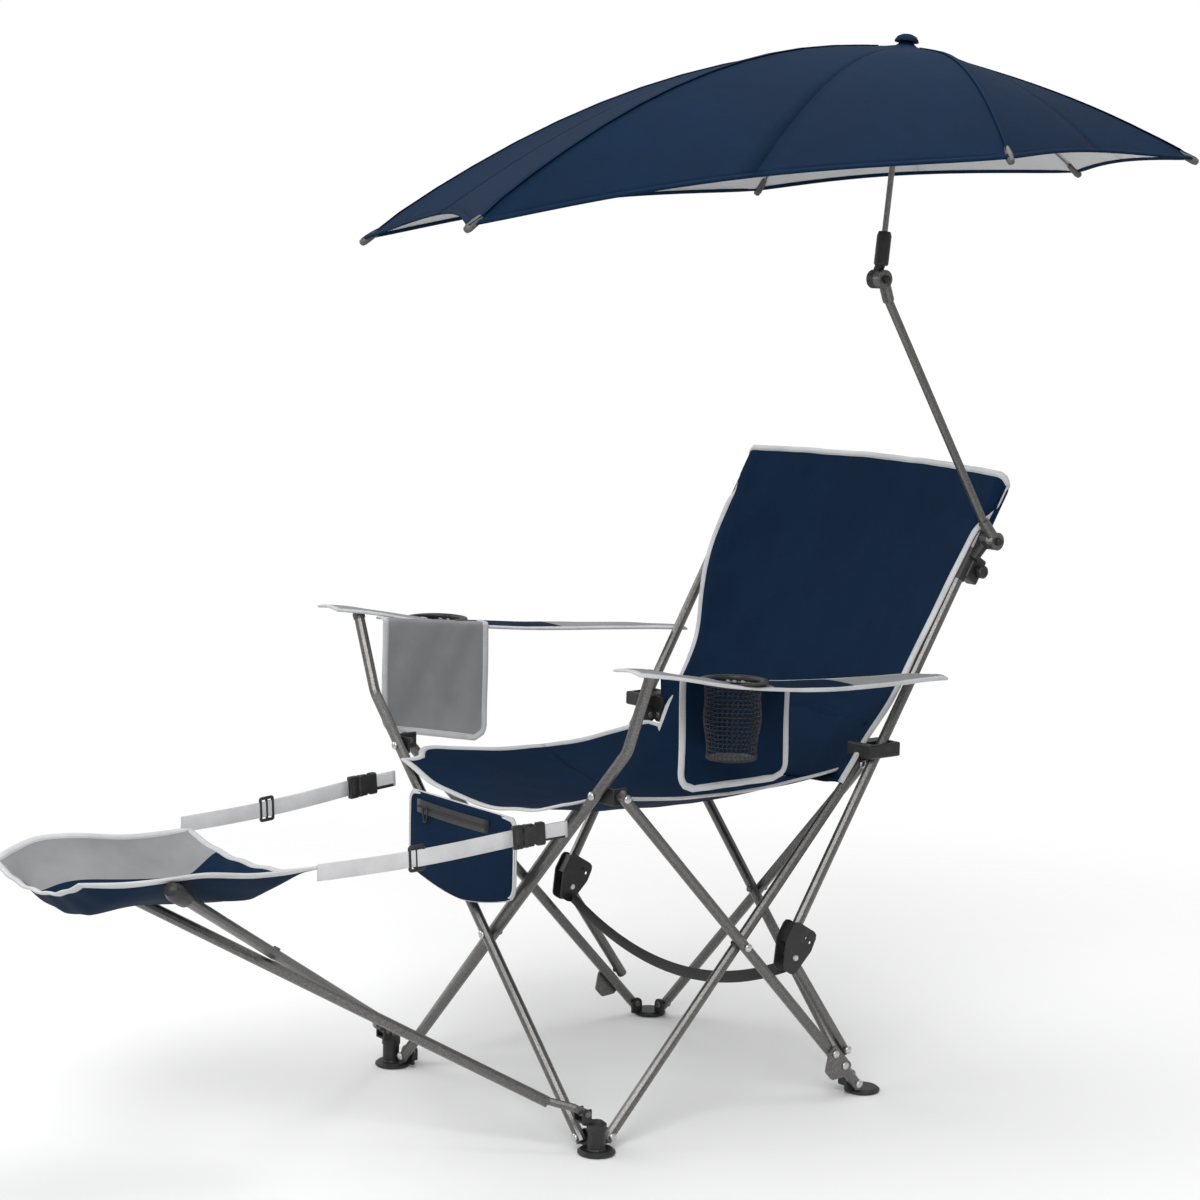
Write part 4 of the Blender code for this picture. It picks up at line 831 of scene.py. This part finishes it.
NET_TOP_R, NET_LOW_R, NET_AROUND, NET_LEVELS = 0.0405, 0.0350, 34, 17
BASE_SECTION = [(0.02, 0.0008), (0.6, 0.0006), (0.98, 0.0004), (1.01, -0.0006), (0.98, -0.0012),
                (0.6, -0.0010), (0.02, -0.0012)]


def net_bag(name, centre, body):
    loops, stored = [], []
    for j in range(NET_LEVELS + 1):
        share = j / NET_LEVELS
        radius = NET_TOP_R + (NET_LOW_R - NET_TOP_R) * share ** 1.3 - 0.0015 * math.sin(share * math.pi * 3)
        height, twist = -CUP_DEPTH * share, (j % 2) * 0.5
        loops.append(circle(centre, radius, height, NET_AROUND, twist=twist))
        stored += [(2 * math.pi * (k + twist) / NET_AROUND * radius, height) for k in range(NET_AROUND)]
    obj = place_object(name, ring_mesh(name, loops, stored), [NET])
    strands = obj.modifiers.new("strands", "WIREFRAME")
    strands.thickness = 0.0011
    strands.use_even_offset = False
    settle(obj)
    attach(obj, body)
    loops = [circle(centre, NET_LOW_R * s, h - CUP_DEPTH, NET_AROUND) for s, h in BASE_SECTION]
    stored = [(p.x, p.y) for loop in loops for p in loop]
    base = place_object(name + "_base", ring_mesh(name + "_base", loops, stored, caps=True), [BLACK_WEBBING])
    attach(base, body)


for side, word in SIDES:
    cup = cup_centre(side)
    rim_ring("cup_rim_" + word, cup, CUP_R, word + "_arm_band")
    net_bag("cup_net_" + word, cup, word + "_arm_band")
print("cup holders hang", round(CUP_DEPTH * 1000), "mm below the bands")

# %% [markdown]
# Under the left armrest a flat navy pocket hangs behind the net cup. Under the right one hangs a
# grey pouch. Both are sewn to the band's inner edge, hang free, and have round lower corners
# with a bound edge.

# %% Pockets under the armrests
POCKET_TOP = {1: [(0.322, 0.6640), (0.312, 0.6645), (0.3050, 0.6640), (0.3035, 0.6600)],
              -1: [(0.322, 0.6775), (0.312, 0.6785), (0.3050, 0.6780), (0.3035, 0.6740)]}


def pocket_rows(side, y_mid, half, low_mid, corner, fall, lean=0.0):
    """A panel that leaves the band's inner edge along POCKET_TOP and hangs to low_mid."""
    rows = []
    for x, z in POCKET_TOP[side][:-1]:
        rows.append([Vector((side * x, y_mid + half * u, z - fall * u)) for u in shares(33, -1, 1)])
    x, start_z = POCKET_TOP[side][-1]
    for share in shares(26):
        z = start_z + (low_mid - start_z) * share
        past = max(0.0, corner - (z - low_mid))
        reach = half - corner + math.sqrt(max(0.0, corner ** 2 - past ** 2))
        row = []
        for u in shares(33, -1, 1):
            bulge = 0.0035 * (1 - u * u) * math.sin(share * math.pi) + 0.0008 * math.sin(u * 9 + share * 7)
            drop = fall * u * (1 - share) + lean * u * share
            row.append(Vector((side * (x + bulge), y_mid + reach * u, z - drop)))
        rows.append(row)
    return rows


left_rows = pocket_rows(1, -0.063, 0.100, 0.5125, 0.026, 0.012)
right_rows = pocket_rows(-1, -0.150, 0.098, 0.4980, 0.022, 0.010, 0.014)
for name, rows, finish, word in (("side_pocket", left_rows, NAVY, "left"),
                                 ("side_pouch", right_rows, GREY, "right")):
    sewn_sheet(name + "_" + word, rows, 0.0018, [finish], word + "_arm_band")
    binding(name + "_binding_" + word, list(reversed(rows)), "u", word + "_arm_band")

# %% [markdown]
# The footrest is a small hammock between the tips of its two crossed legs. Its sides stand up
# and its belly hangs. The sewn cloth is grey inside on both wings and navy below.

# %% Footrest hammock
FOOTREST = [(-0.989, 0.120, 0.447), (-0.945, 0.158, 0.450), (-0.895, 0.182, 0.4543), (-0.84, 0.179, 0.453),
            (-0.76, 0.176, 0.442), (-0.659, 0.176, 0.440)]


def footrest_point(y, u):
    half, edge = smooth_value(FOOTREST, y)
    ends = eased(min((y - FOOTREST[0][0]) / 0.05, (FOOTREST[-1][0] - y) / 0.06))
    sag = 0.026 + 0.036 * ends
    ripple = (math.sin(u * 17 + y * 22) * 0.0011 + math.sin(y * 55) * 0.0010) * (1 - abs(u) ** 3)
    return Vector((half * u, y, edge + 0.007 * u - sag * (1 - abs(u) ** 2.2) + ripple))


FOOT_COLUMNS, WING = 41, 0.48
foot_rows = [[footrest_point(y, u) for u in shares(FOOT_COLUMNS, -1, 1)]
             for y in shares(48, FOOTREST[0][0], FOOTREST[-1][0])]


def wing_tone(_j, k):
    return 1 if abs(2 * (k + 0.5) / (FOOT_COLUMNS - 1) - 1) > 1 - WING else 0


sewn_sheet("footrest_hammock", foot_rows, 0.0020, [NAVY, GREY], "footrest",
           ["footrest_sling"], tone=wing_tone, swap=(Z, 0))
binding("footrest_binding", foot_rows, "all", "footrest")

# %% [markdown]
# Webbing straps hold the footrest up to the seat's front corners. Each one is a single flat
# strap on edge, doubled where it turns back through a three-bar slider, and its short upper
# tail comes out of the buckle.

# %% Webbing straps and sliders
STRAP_FOOT, STRAP_BUCKLE = (0.1781, -0.672, 0.440), (0.2040, -0.375, 0.4555)
STRAP_SEAT, STRAP_SAG, STRAP_STEPS = (0.2120, -0.2905, 0.4600), 0.004, 16


def on_side(side, place):
    return Vector((side * place[0], place[1], place[2]))


def strap_line(side):
    start, end = on_side(side, STRAP_FOOT), on_side(side, STRAP_BUCKLE)
    return [start.lerp(end, t) - Z * STRAP_SAG * math.sin(math.pi * t) for t in shares(STRAP_STEPS + 1)]


def flat_strap(name, line, width, thickness, body, finish=None, up=Z, replaced=()):
    """A strap with softly rounded edges, swept along a line."""
    half, t = width / 2, thickness / 2
    section = [(-half, -t * 0.4), (-half, t * 0.4), (-half + t, t), (half - t, t)]
    section += [(-a, -b) for a, b in section]
    loops, stored, run = [], [], 0.0
    for k, point in enumerate(line):
        before, after = line[max(k - 1, 0)], line[min(k + 1, len(line) - 1)]
        ahead = (after - before).normalized()
        rise = (up - ahead * up.dot(ahead)).normalized()
        beside = ahead.cross(rise).normalized()
        run += (point - line[k - 1]).length if k else 0.0
        loops.append([point + rise * a + beside * b for a, b in section])
        stored += [(run, a) for a, _ in section]
    obj = place_object(name, ring_mesh(name, loops, stored, caps=True), [finish or WEBBING])
    if replaced:
        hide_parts(*replaced)
    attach(obj, body)
    return obj, run


def wire_loop(name, points, radius, finish, body, closed=True):
    """A moulded bar bent along points."""
    curve = bpy.data.curves.new(name, "CURVE")
    curve.dimensions = "3D"
    curve.bevel_depth, curve.bevel_resolution = radius, 3
    curve.use_fill_caps = True
    spline = curve.splines.new("POLY")
    spline.points.add(len(points) - 1)
    for spot, p in zip(spline.points, points):
        spot.co = (*(Vector(p) + SHIFT), 1)
    spline.use_cyclic_u = closed
    holder = bpy.data.objects.new(name + "_path", curve)
    bpy.context.scene.collection.objects.link(holder)
    bpy.context.view_layer.update()
    mesh = bpy.data.meshes.new_from_object(holder.evaluated_get(bpy.context.evaluated_depsgraph_get()))
    bpy.data.objects.remove(holder, do_unlink=True)
    mesh.materials.clear()
    obj = place_object(name, mesh, [finish])
    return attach(obj, body)


def slider(name, centre, ahead, body):
    """Three bars and two ends, moulded in one piece."""
    rise = (Z - ahead * Z.dot(ahead)).normalized()
    half_long, half_high, corner = 0.0085, 0.0140, 0.0022
    points = []
    for quarter, (a, b) in enumerate(((1, 1), (-1, 1), (-1, -1), (1, -1))):
        for turn in (0, 30, 60, 90):
            t = math.radians(90 * quarter + turn)
            out = ahead * (a * half_long + corner * math.cos(t))
            points.append(centre + out + rise * (b * half_high + corner * math.sin(t)))
    wire_loop(name, points, 0.0024, NYLON, body)
    bar = [centre + rise * h for h in (-half_high, -0.005, 0.005, half_high)]
    wire_loop(name + "_bar", bar, 0.0021, NYLON, body, closed=False)


WEBBING_WIDTH, SLIDER_AT, TAIL_STARTS = 0.023, 8, (0.0505, 0.058, 0.066, 0.074, 0.082)
for side, word in SIDES:
    line, body, slot = strap_line(side), word + "_strap", "footrest_strap_" + word
    _, length = flat_strap("footrest_webbing_" + word, line, WEBBING_WIDTH, 0.0019, body,
                           replaced=[slot])
    ahead = (line[SLIDER_AT + 1] - line[SLIDER_AT - 1]).normalized()
    beside = ahead.cross(Z).normalized() * (side * 0.0021)
    flat_strap("webbing_turned_back_" + word, [p + beside for p in line[SLIDER_AT:]], WEBBING_WIDTH,
               0.0017, body)
    slider("slider_" + word, line[SLIDER_AT], ahead, body)
    end, seat = line[-1], on_side(side, STRAP_SEAT)
    along = (seat - end).normalized()
    tail = [end + along * d for d in TAIL_STARTS] + [seat + along * 0.004]
    flat_strap("buckle_tail_" + word, tail, 0.0236, 0.0040, "front_%s_link" % word)
    print(word, "strap is", round(length * 1000), "mm from hammock to buckle")

# %% [markdown]
# A flat pouch hangs under the seat's front edge. It is a thin bag: two layers of cloth, with a
# little air between them, bound all round. A zip with a moulded puller runs under its top edge.

# %% Front pouch
POUCH = Vector((-0.035, -0.2880, 0.3885))
POUCH_HALF, POUCH_TOP, POUCH_LOW, POUCH_BELLY = 0.132, 0.064, -0.058, 0.019
ZIP_V = 0.16


def pouch_point(u, v, layer):
    """layer is -1 for the front cloth, 1 for the back one."""
    low = POUCH_LOW - POUCH_BELLY * (1 - abs(u) ** 1.6)
    corner = max(0.0, (v - 0.80) / 0.20)
    side = POUCH_HALF - 0.020 * (1 - math.sqrt(max(0.0, 1 - corner ** 2)))
    upper = max(0.0, (0.12 - v) / 0.12)
    side -= 0.008 * upper ** 2
    air = max(0.0, 1 - u ** 4) * max(0.0, 1 - (2 * v - 1) ** 4)
    ripple = math.sin(u * 5 + v * 6) * 0.0006 + math.sin(v * 17 + u * 3) * 0.0004
    depth = layer * (0.0012 + 0.0036 * air) + ripple * air
    return POUCH + Vector((side * u, depth, POUCH_TOP + (low - POUCH_TOP) * v))


def pouch_rows(layer):
    return [[pouch_point(u, v, layer) for u in shares(37, -1, 1)] for v in shares(27)]


sewn_sheet("pouch_front", pouch_rows(-1), 0.0012, [NAVY], "front_left_link", ["front_pouch"])
sewn_sheet("pouch_back", pouch_rows(1), 0.0012, [NAVY], "front_left_link")
binding("pouch_binding", pouch_rows(0), "all", "front_left_link")


def pouch_line(low_u, high_u, out, count):
    return [pouch_point(u, ZIP_V, -1) - Y * out for u in shares(count, low_u, high_u)]


flat_strap("pouch_zip_tape", pouch_line(-0.82, 0.55, 0.0014, 17), 0.020, 0.0012, "front_left_link",
           finish=BLACK_WEBBING)
teeth = [p + Z * (0.0012 if k % 2 else -0.0012) for k, p in enumerate(pouch_line(-0.80, 0.53, 0.0026, 60))]
wire_loop("pouch_zip_teeth", teeth, 0.0009, NYLON, "front_left_link", closed=False)
pull = pouch_point(-0.62, ZIP_V, -1) - Y * 0.0048
PULLER = [(-0.004, 0.002), (0.004, 0.002), (0.006, -0.004), (0.003, -0.020), (-0.003, -0.020),
          (-0.006, -0.004)]
wire_loop("pouch_zip_puller", [pull + X * a + Z * b for a, b in PULLER], 0.0013, NYLON,
          "front_left_link")

# %% [markdown]
# The canopy is six gores sewn along six ribs. The front pair of ribs is the longest, so the
# crown sits well behind the middle. Each piece here is one rib's share of the cloth, from the
# middle of one gore to the middle of the next. All of them meet without a step when open, and
# each one follows its own rib when the canopy closes. The cloth is navy above and pale below.

# %% Canopy geometry
KNUCKLE_UP = Vector((0.3045, 0.187, 1.222))
CROWN = Vector((0.301, 0.2283, 1.557))
CANOPY_UP = (CROWN - KNUCKLE_UP).normalized()
yawed = Matrix.Rotation(math.radians(-17), 3, "Z") @ -Y
CANOPY_AHEAD = (yawed - CANOPY_UP * yawed.dot(CANOPY_UP)).normalized()
CANOPY_LEFT = CANOPY_UP.cross(CANOPY_AHEAD).normalized()
if CANOPY_LEFT.x < 0:
    CANOPY_LEFT = -CANOPY_LEFT
RIB_TIPS = {"front_right": (0.696, -0.231, 0.369), "front_left": (0.696, 0.231, 0.369),
            "side_left": (0.029, 0.392, 0.197), "rear_left": (-0.394, 0.159, 0.123),
            "rear_right": (-0.394, -0.159, 0.123), "side_right": (0.029, -0.392, 0.197)}
HINGE_OUT, HINGE_DROP, PITCH, ARM = 0.0135, 0.012, math.radians(10), 0.100
JOINT_SHARE = 0.22
CLOTH_LIFT = 0.0041


def rib_way(tip):
    return (CANOPY_AHEAD * tip[0] + CANOPY_LEFT * tip[1]).normalized()


def rib_spot(tip, share):
    """A point on a rib: straight as far as its stretcher, then bowed down to the tip."""
    start = (HINGE_OUT, HINGE_DROP)
    joint = (start[0] + ARM * math.cos(PITCH), start[1] + ARM * math.sin(PITCH))
    end = (math.hypot(tip[0], tip[1]), tip[2])
    if share <= JOINT_SHARE:
        part = share / JOINT_SHARE
        flat = [start[i] + (joint[i] - start[i]) * part for i in (0, 1)]
    else:
        part = (share - JOINT_SHARE) / (1 - JOINT_SHARE)
        run = (end[0] - joint[0]) * 0.5
        handle = (joint[0] + run, joint[1] + run * math.tan(PITCH))
        weights = ((1 - part) ** 2, 2 * part * (1 - part), part ** 2)
        flat = [weights[0] * joint[i] + weights[1] * handle[i] + weights[2] * end[i] for i in (0, 1)]
    return CROWN + rib_way(tip) * flat[0] - CANOPY_UP * flat[1]


def rib_rise(tip, share):
    along = (rib_spot(tip, share + 0.01) - rib_spot(tip, share - 0.01)).normalized()
    return (CANOPY_UP - along * along.dot(CANOPY_UP)).normalized()


def gore_spot(one, two, part, share):
    """A point of the cloth between two ribs."""
    scallop = math.sin(math.pi * part)
    reach = share * (1 - 0.05 * scallop * share)
    place = rib_spot(one, reach).lerp(rib_spot(two, reach), part)
    above = rib_rise(one, reach).lerp(rib_rise(two, reach), part).normalized()
    sag = 0.004 * scallop * share
    pucker = 0.0011 * math.sin(reach * 95) * math.exp(-((min(part, 1 - part) / 0.10) ** 2)) * share
    return place + above * (CLOTH_LIFT + pucker) - CANOPY_UP * sag


CLOTH_SHARES = [0.06, 0.10, 0.15, 0.2, 0.26, 0.33, 0.40, 0.47, 0.54, 0.61, 0.68, 0.75,
                0.82, 0.88, 0.94, 0.975, 1.0]
CROWN_RINGS = ((0.0066, 0.0008), (0.0155, -0.0066))
HALF_STEPS = 9


def gore_rows(before, own, after):
    """From the crown's two small rings to the hem, over half a gore on each side of one rib."""
    columns = [(before, own, 0.5 + 0.5 * k / HALF_STEPS) for k in range(HALF_STEPS)]
    columns += [(own, after, 0.5 * k / HALF_STEPS) for k in range(HALF_STEPS + 1)]
    ways = [rib_way(one).lerp(rib_way(two), part).normalized() for one, two, part in columns]
    rows = [[CROWN + way * out + CANOPY_UP * up for way in ways] for out, up in CROWN_RINGS]
    return rows + [[gore_spot(one, two, part, share) for one, two, part in columns] for share in CLOTH_SHARES]


names = list(RIB_TIPS)
for index, name in enumerate(names):
    rows = gore_rows(*(RIB_TIPS[names[(index + s) % 6]] for s in (-1, 0, 1)))
    sewn_sheet("canopy_gore_" + name, rows, 0.0011, [NAVY, LINING], "rib_" + name,
               ["canopy_fabric"] if index == 0 else [], swap=(CANOPY_UP, 1))
    binding("canopy_hem_" + name, rows, "end", "rib_" + name, finish=NAVY, scale=0.72)

# %% [markdown]
# Over each rib the gores are joined by a felled seam: a narrow raised band with the thread
# running along it. It lies on the cloth from near the crown to the rim, where a moulded cap
# holds the rib's end in its corner. A round patch of the same cloth covers the crown.

# %% Rib seams and tip caps
for name, tip in RIB_TIPS.items():
    line = []
    for share in CLOTH_SHARES[1:]:
        line.append(gore_spot(tip, tip, 0.0, share) + rib_rise(tip, min(share, 0.99)) * 0.0010)
    across = CANOPY_UP.cross(rib_way(tip)).normalized()
    flat_strap("canopy_seam_" + name, line, 0.009, 0.0012, "rib_" + name, finish=NAVY,
               up=across)


def turned_piece(name, profile, base, way, body, finish, around=20):
    """A turned part from (radius, height) pairs."""
    turn = Z.rotation_difference(Vector(way)).to_matrix()
    loops = [circle(Vector(base), r, h, around, (turn @ X, turn @ Y, turn @ Z)) for r, h in profile]
    stored = [(r, h) for r, h in profile for _ in range(around)]
    obj = place_object(name, ring_mesh(name, loops, stored, caps=True), [finish])
    obj.data.set_sharp_from_angle(angle=math.radians(40))
    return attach(obj, body)


TIP_CAP = [(0.0012, -0.026), (0.0042, -0.024), (0.0056, -0.012), (0.0058, 0.0), (0.0046, 0.0052),
           (0.0020, 0.0068), (0.0006, 0.0070)]
CROWN_PATCH = [(0.0175, 0.0005), (0.0170, 0.003), (0.0135, 0.008), (0.0075, 0.011), (0.0008, 0.0122)]
for name, tip in RIB_TIPS.items():
    end = rib_spot(tip, 1.0)
    way = (end - rib_spot(tip, 0.97)).normalized()
    lifted = end + rib_rise(tip, 0.98) * 0.0016
    turned_piece("rib_tip_cap_" + name, TIP_CAP, lifted, way, "rib_" + name, TIP_NYLON, 12)
turned_piece("canopy_crown_patch", CROWN_PATCH, CROWN, CANOPY_UP, "canopy", NAVY)
print("canopy has", len(RIB_TIPS), "ribs with seams and tip caps")

# %% [markdown]
# A black webbing strap hangs between the two knee brackets and limits how far the back leans.

# %% Recline strap
recline_line = [Vector((s * 0.255, 0.090, 0.2184 - 0.060 * (1 - s * s))) for s in shares(33, -1, 1)]
_, length = flat_strap("recline_webbing", recline_line, 0.018, 0.0016, "left_post",
                       finish=BLACK_WEBBING, replaced=["recline_strap"])
print("recline strap is", round(length * 1000), "mm between the brackets")

# %% [markdown]
# Every joint of the frame is a rivet with a low domed head. The CAD's rivet heads are part of
# its tubes, so a thin domed cap in bare zinc goes over each one.

# %% Rivet heads
HEAD = [(0.0060, -0.0004), (0.0061, 0.0008), (0.0056, 0.0019), (0.0042, 0.0028), (0.0020, 0.0033),
        (0.0004, 0.0034)]
HEAD_SEAT, PLATE, STRUT_FOOT = 0.0003, 0.0025, 0.062
P, MID_Z = PAIR_HALF, (FOOT_Z + TOP_Z) / 2
CROSSED_TUBES = [("front_tube_a", "front_tube_right_arm", -OUTER, 1, True),
                 ("front_tube_b", "front_tube_left_arm", -INNER, -1, False),
                 ("rear_tube_e", "rear_tube_left_foot", INNER, 1, False),
                 ("rear_tube_f", "rear_tube_right_foot", OUTER, -1, True)]
rivets = []
for body, slot_name, plane, foot, crossed in CROSSED_TUBES:
    way = Y * math.copysign(1, plane)
    spots = [(foot * P, FOOT_Z), (-foot * P, TOP_Z)] + ([(0, MID_Z)] if crossed else [])
    for x, z in spots:
        rivets.append((body, slot_name, Vector((x, plane, z)) + way * (TUBE_R + HEAD_SEAT), way))
for side, word in SIDES:
    way, front_leg, rear_leg = X * side, "side_tube_%s_front_leg" % word, "side_tube_%s_rear_leg" % word
    for body, slot_name, plane, foot in ((word + "_side_c", front_leg, INNER, -1),
                                         (word + "_side_d", rear_leg, OUTER, 1)):
        spots = [(foot * P, FOOT_Z), (-foot * P, TOP_Z)] + ([(0, MID_Z)] if plane == OUTER else [])
        for y, z in spots:
            rivets.append((body, slot_name, Vector((side * plane, y, z)) + way * (TUBE_R + HEAD_SEAT), way))
    foot_point = Vector((side * OUTER, P, FOOT_Z))
    leg = (Vector((side * OUTER, -P, TOP_Z)) - foot_point).normalized()
    plate_face = OUTER + TUBE_R + HEAD_SEAT + PLATE
    for shift in (-0.014, 0.015):
        spot = foot_point + leg * (STRUT_FOOT + shift)
        spot.x = side * (plate_face + 0.0006)
        rivets.append((word + "_side_d", rear_leg, spot, way))
    spot = foot_point + leg * STRUT_FOOT + Vector((0, leg.z, -leg.y)) * 0.0196
    spot.x = side * (plate_face + 0.0009)
    rivets.append((word + "_strut", "recline_strut_" + word, spot, way))
for k, (body, slot_name, spot, way) in enumerate(rivets):
    turned_piece("rivet_head_%02d" % k, HEAD, spot, way, body, ZINC, 16)
print(len(rivets), "rivet heads capped")

# %% [markdown]
# The footrest legs end in long black sleeves that grip the hammock's corners, and the arm posts
# and back posts end in black plugs. Thin sleeves go over the CAD's caps.

# %% Sleeves on tube ends
LEG_FOOT, LEG_TIP = Vector((0.248, -0.276, 0.0615)), Vector((-0.186, -0.899, 0.441))
flat_way = Vector((0, LEG_TIP.y - LEG_FOOT.y, LEG_TIP.z - LEG_FOOT.z))
LEG_NORMAL = -X.cross(flat_way).normalized()
LEG_SLEEVE = [(0.0092, -0.0486), (0.0102, -0.0484), (0.0122, -0.0440), (0.0130, -0.0122), (0.0092, 0.0026),
              (0.0040, 0.0062), (0.0006, 0.0066)]
PLUG = [(0.0084, -0.0032), (0.0103, -0.0033), (0.0104, 0.0050), (0.0066, 0.0102), (0.0020, 0.0114),
        (0.0004, 0.0115)]
POST_LEAN, KNEE_RUN, POST_RUN, KNEE_BACK = math.radians(1), 0.333, 0.436, 0.014
for side, word in SIDES:
    shift = LEG_NORMAL * (TUBE_R + 0.00015) * (-1 if side > 0 else 1)
    foot = on_side(side, LEG_FOOT)
    tip = on_side(side, LEG_TIP) + shift
    start = foot.lerp(tip, 0.06) + shift
    way = (tip - start).normalized()
    turned_piece("leg_sleeve_" + word, LEG_SLEEVE, tip, way, word + "_leg", NYLON)
    way = Vector((side * math.tan(POST_LEAN), math.sin(POST_TILT), math.cos(POST_TILT))).normalized()
    behind = Vector((0, math.cos(POST_TILT), -math.sin(POST_TILT)))
    knee = POST_BASE - POST_DIR * KNEE_RUN + behind * KNEE_BACK
    knee.x = side * OUTER
    tip = knee - behind * KNEE_BACK + way * (KNEE_RUN + POST_RUN)
    turned_piece("post_plug_" + word, PLUG, tip, way, word + "_post", NYLON)
print("four tube ends have sleeves and plugs")

# %% [markdown]
# Cloth can't follow the folding frame by hinging. Each soft piece listed here is given a mesh
# of its own.

# %% Soft pieces with meshes of their own
SEAT_SOFT = ("seat_sling_", "seat_front_b", "seat_rear_b", "seat_skirt", "pouch_")
ARM_SOFT = ("armrest_band_", "armrest_binding_", "cup_rim_", "cup_net_")
LEFT_ARM_SOFT = tuple(start + "left" for start in ARM_SOFT) + ("side_pocket",)
RIGHT_ARM_SOFT = tuple(start + "right" for start in ARM_SOFT) + ("side_pouch",)
GATHERED = [(SEAT_SOFT, X, Vector((0.2165, 0, 0.45)), 0.25),
            (("back_sling", "recline_webbing"), X, Vector((OUTER, 0, 0.6)), 0.386),
            (LEFT_ARM_SOFT, Y, Vector((0.35, -INNER, 0.65)), 0.35),
            (RIGHT_ARM_SOFT, Y, Vector((-0.35, -OUTER, 0.65)), 0.35),
            (("footrest_hammock", "footrest_binding"), X, Vector((-0.186, -0.83, 0.43)), 0.22)]
gathered = 0
for obj in list(bpy.data.objects):
    for prefixes, axis, anchor, keep in GATHERED:
        if obj.type == "MESH" and obj.name not in NODES and obj.name.startswith(prefixes):
            anchor + SHIFT
            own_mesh(obj)
            gathered += 1
print(gathered, "soft pieces gather as the chair folds")

# %% [markdown]
# The stage is a plain pale floor. It fades out into the white backdrop before its far edge, so
# only the chair's soft shadow shows. The lamps are three large soft panels, and the world fills
# the rest. The backdrop is white only to rays that come from the camera or through glass, so it
# adds no light to the chair.

# %% Floor, backdrop and lights
def floor_finish():
    graph = Graph("pale_floor")
    place = graph.place()
    x, y, _ = graph.axes(place)
    far = ((x * x + y * y) ** 0.5).between(1.0, 2.3)
    grain = graph.noise(place, 30.0)
    tone = graph.mix(grain * 0.15, (0.90, 0.90, 0.90, 1), (0.87, 0.87, 0.87, 1))
    graph.set(colour=tone, roughness=0.9, specular=0.1)
    clear = graph.make("ShaderNodeBsdfTransparent")
    joined = graph.tree.nodes.new("ShaderNodeMixShader")
    graph.tree.links.new(far.socket, joined.inputs[0])
    graph.tree.links.new(graph.shader.outputs[0], joined.inputs[1])
    graph.tree.links.new(clear.socket, joined.inputs[2])
    output = graph.tree.nodes["Material Output"]
    graph.tree.links.new(joined.outputs[0], output.inputs["Surface"])
    return graph.material


FLOOR_RADII, FLOOR_Z, FLOOR_STEPS = (0.6, 1.2, 1.8, 2.5), -0.0004, 64
bm = bmesh.new()
middle_vert = bm.verts.new((0, 0, FLOOR_Z))
floor_rings = []
for r in FLOOR_RADII:
    turns = [2 * math.pi * k / FLOOR_STEPS for k in range(FLOOR_STEPS)]
    floor_rings.append([bm.verts.new((r * math.cos(t), r * math.sin(t), FLOOR_Z)) for t in turns])
for k in range(FLOOR_STEPS):
    after = (k + 1) % FLOOR_STEPS
    bm.faces.new((middle_vert, floor_rings[0][k], floor_rings[0][after]))
    for one, two in zip(floor_rings, floor_rings[1:]):
        bm.faces.new((one[k], two[k], two[after], one[after]))
floor_mesh = bpy.data.meshes.new("floor")
bm.to_mesh(floor_mesh)
bm.free()
floor = place_object("floor", floor_mesh, [floor_finish()])


def soft_panel(name, place, aim_at, width, power):
    light = bpy.data.lights.new(name, "AREA")
    light.shape, light.size, light.size_y, light.energy = "RECTANGLE", width, width * 0.8, power
    obj = bpy.data.objects.new(name, light)
    bpy.context.scene.collection.objects.link(obj)
    obj.location = place
    obj.rotation_mode = "QUATERNION"
    obj.rotation_quaternion = (Vector(aim_at) - Vector(place)).to_track_quat("-Z", "Y")
    return obj


soft_panel("key_panel", (2.4, -2.6, 3.2), (0, 0, 0.7), 2.4, 105)
soft_panel("fill_panel", (-2.8, -2.2, 2.2), (0, 0, 0.7), 2.6, 48)
soft_panel("top_panel", (0.2, 0.6, 3.8), (0, 0, 0.5), 2.8, 60)

world = bpy.data.worlds.new("studio")
bpy.context.scene.world = world
world.use_nodes = True
tree = world.node_tree
path = tree.nodes.new("ShaderNodeLightPath")
seen = tree.nodes.new("ShaderNodeMath")
seen.operation = "MAXIMUM"
tree.links.new(path.outputs["Is Camera Ray"], seen.inputs[0])
tree.links.new(path.outputs["Is Transmission Ray"], seen.inputs[1])
white = tree.nodes.new("ShaderNodeBackground")
white.inputs["Color"].default_value = (1, 1, 1, 1)
fill = tree.nodes["Background"]
fill.inputs["Color"].default_value = (1, 1, 1, 1)
fill.inputs["Strength"].default_value = 0.55
choose = tree.nodes.new("ShaderNodeMixShader")
tree.links.new(seen.outputs[0], choose.inputs[0])
tree.links.new(fill.outputs[0], choose.inputs[1])
tree.links.new(white.outputs[0], choose.inputs[2])
tree.links.new(choose.outputs[0], tree.nodes["World Output"].inputs["Surface"])
bpy.context.scene.view_settings.view_transform = "Standard"
print("stage ready")
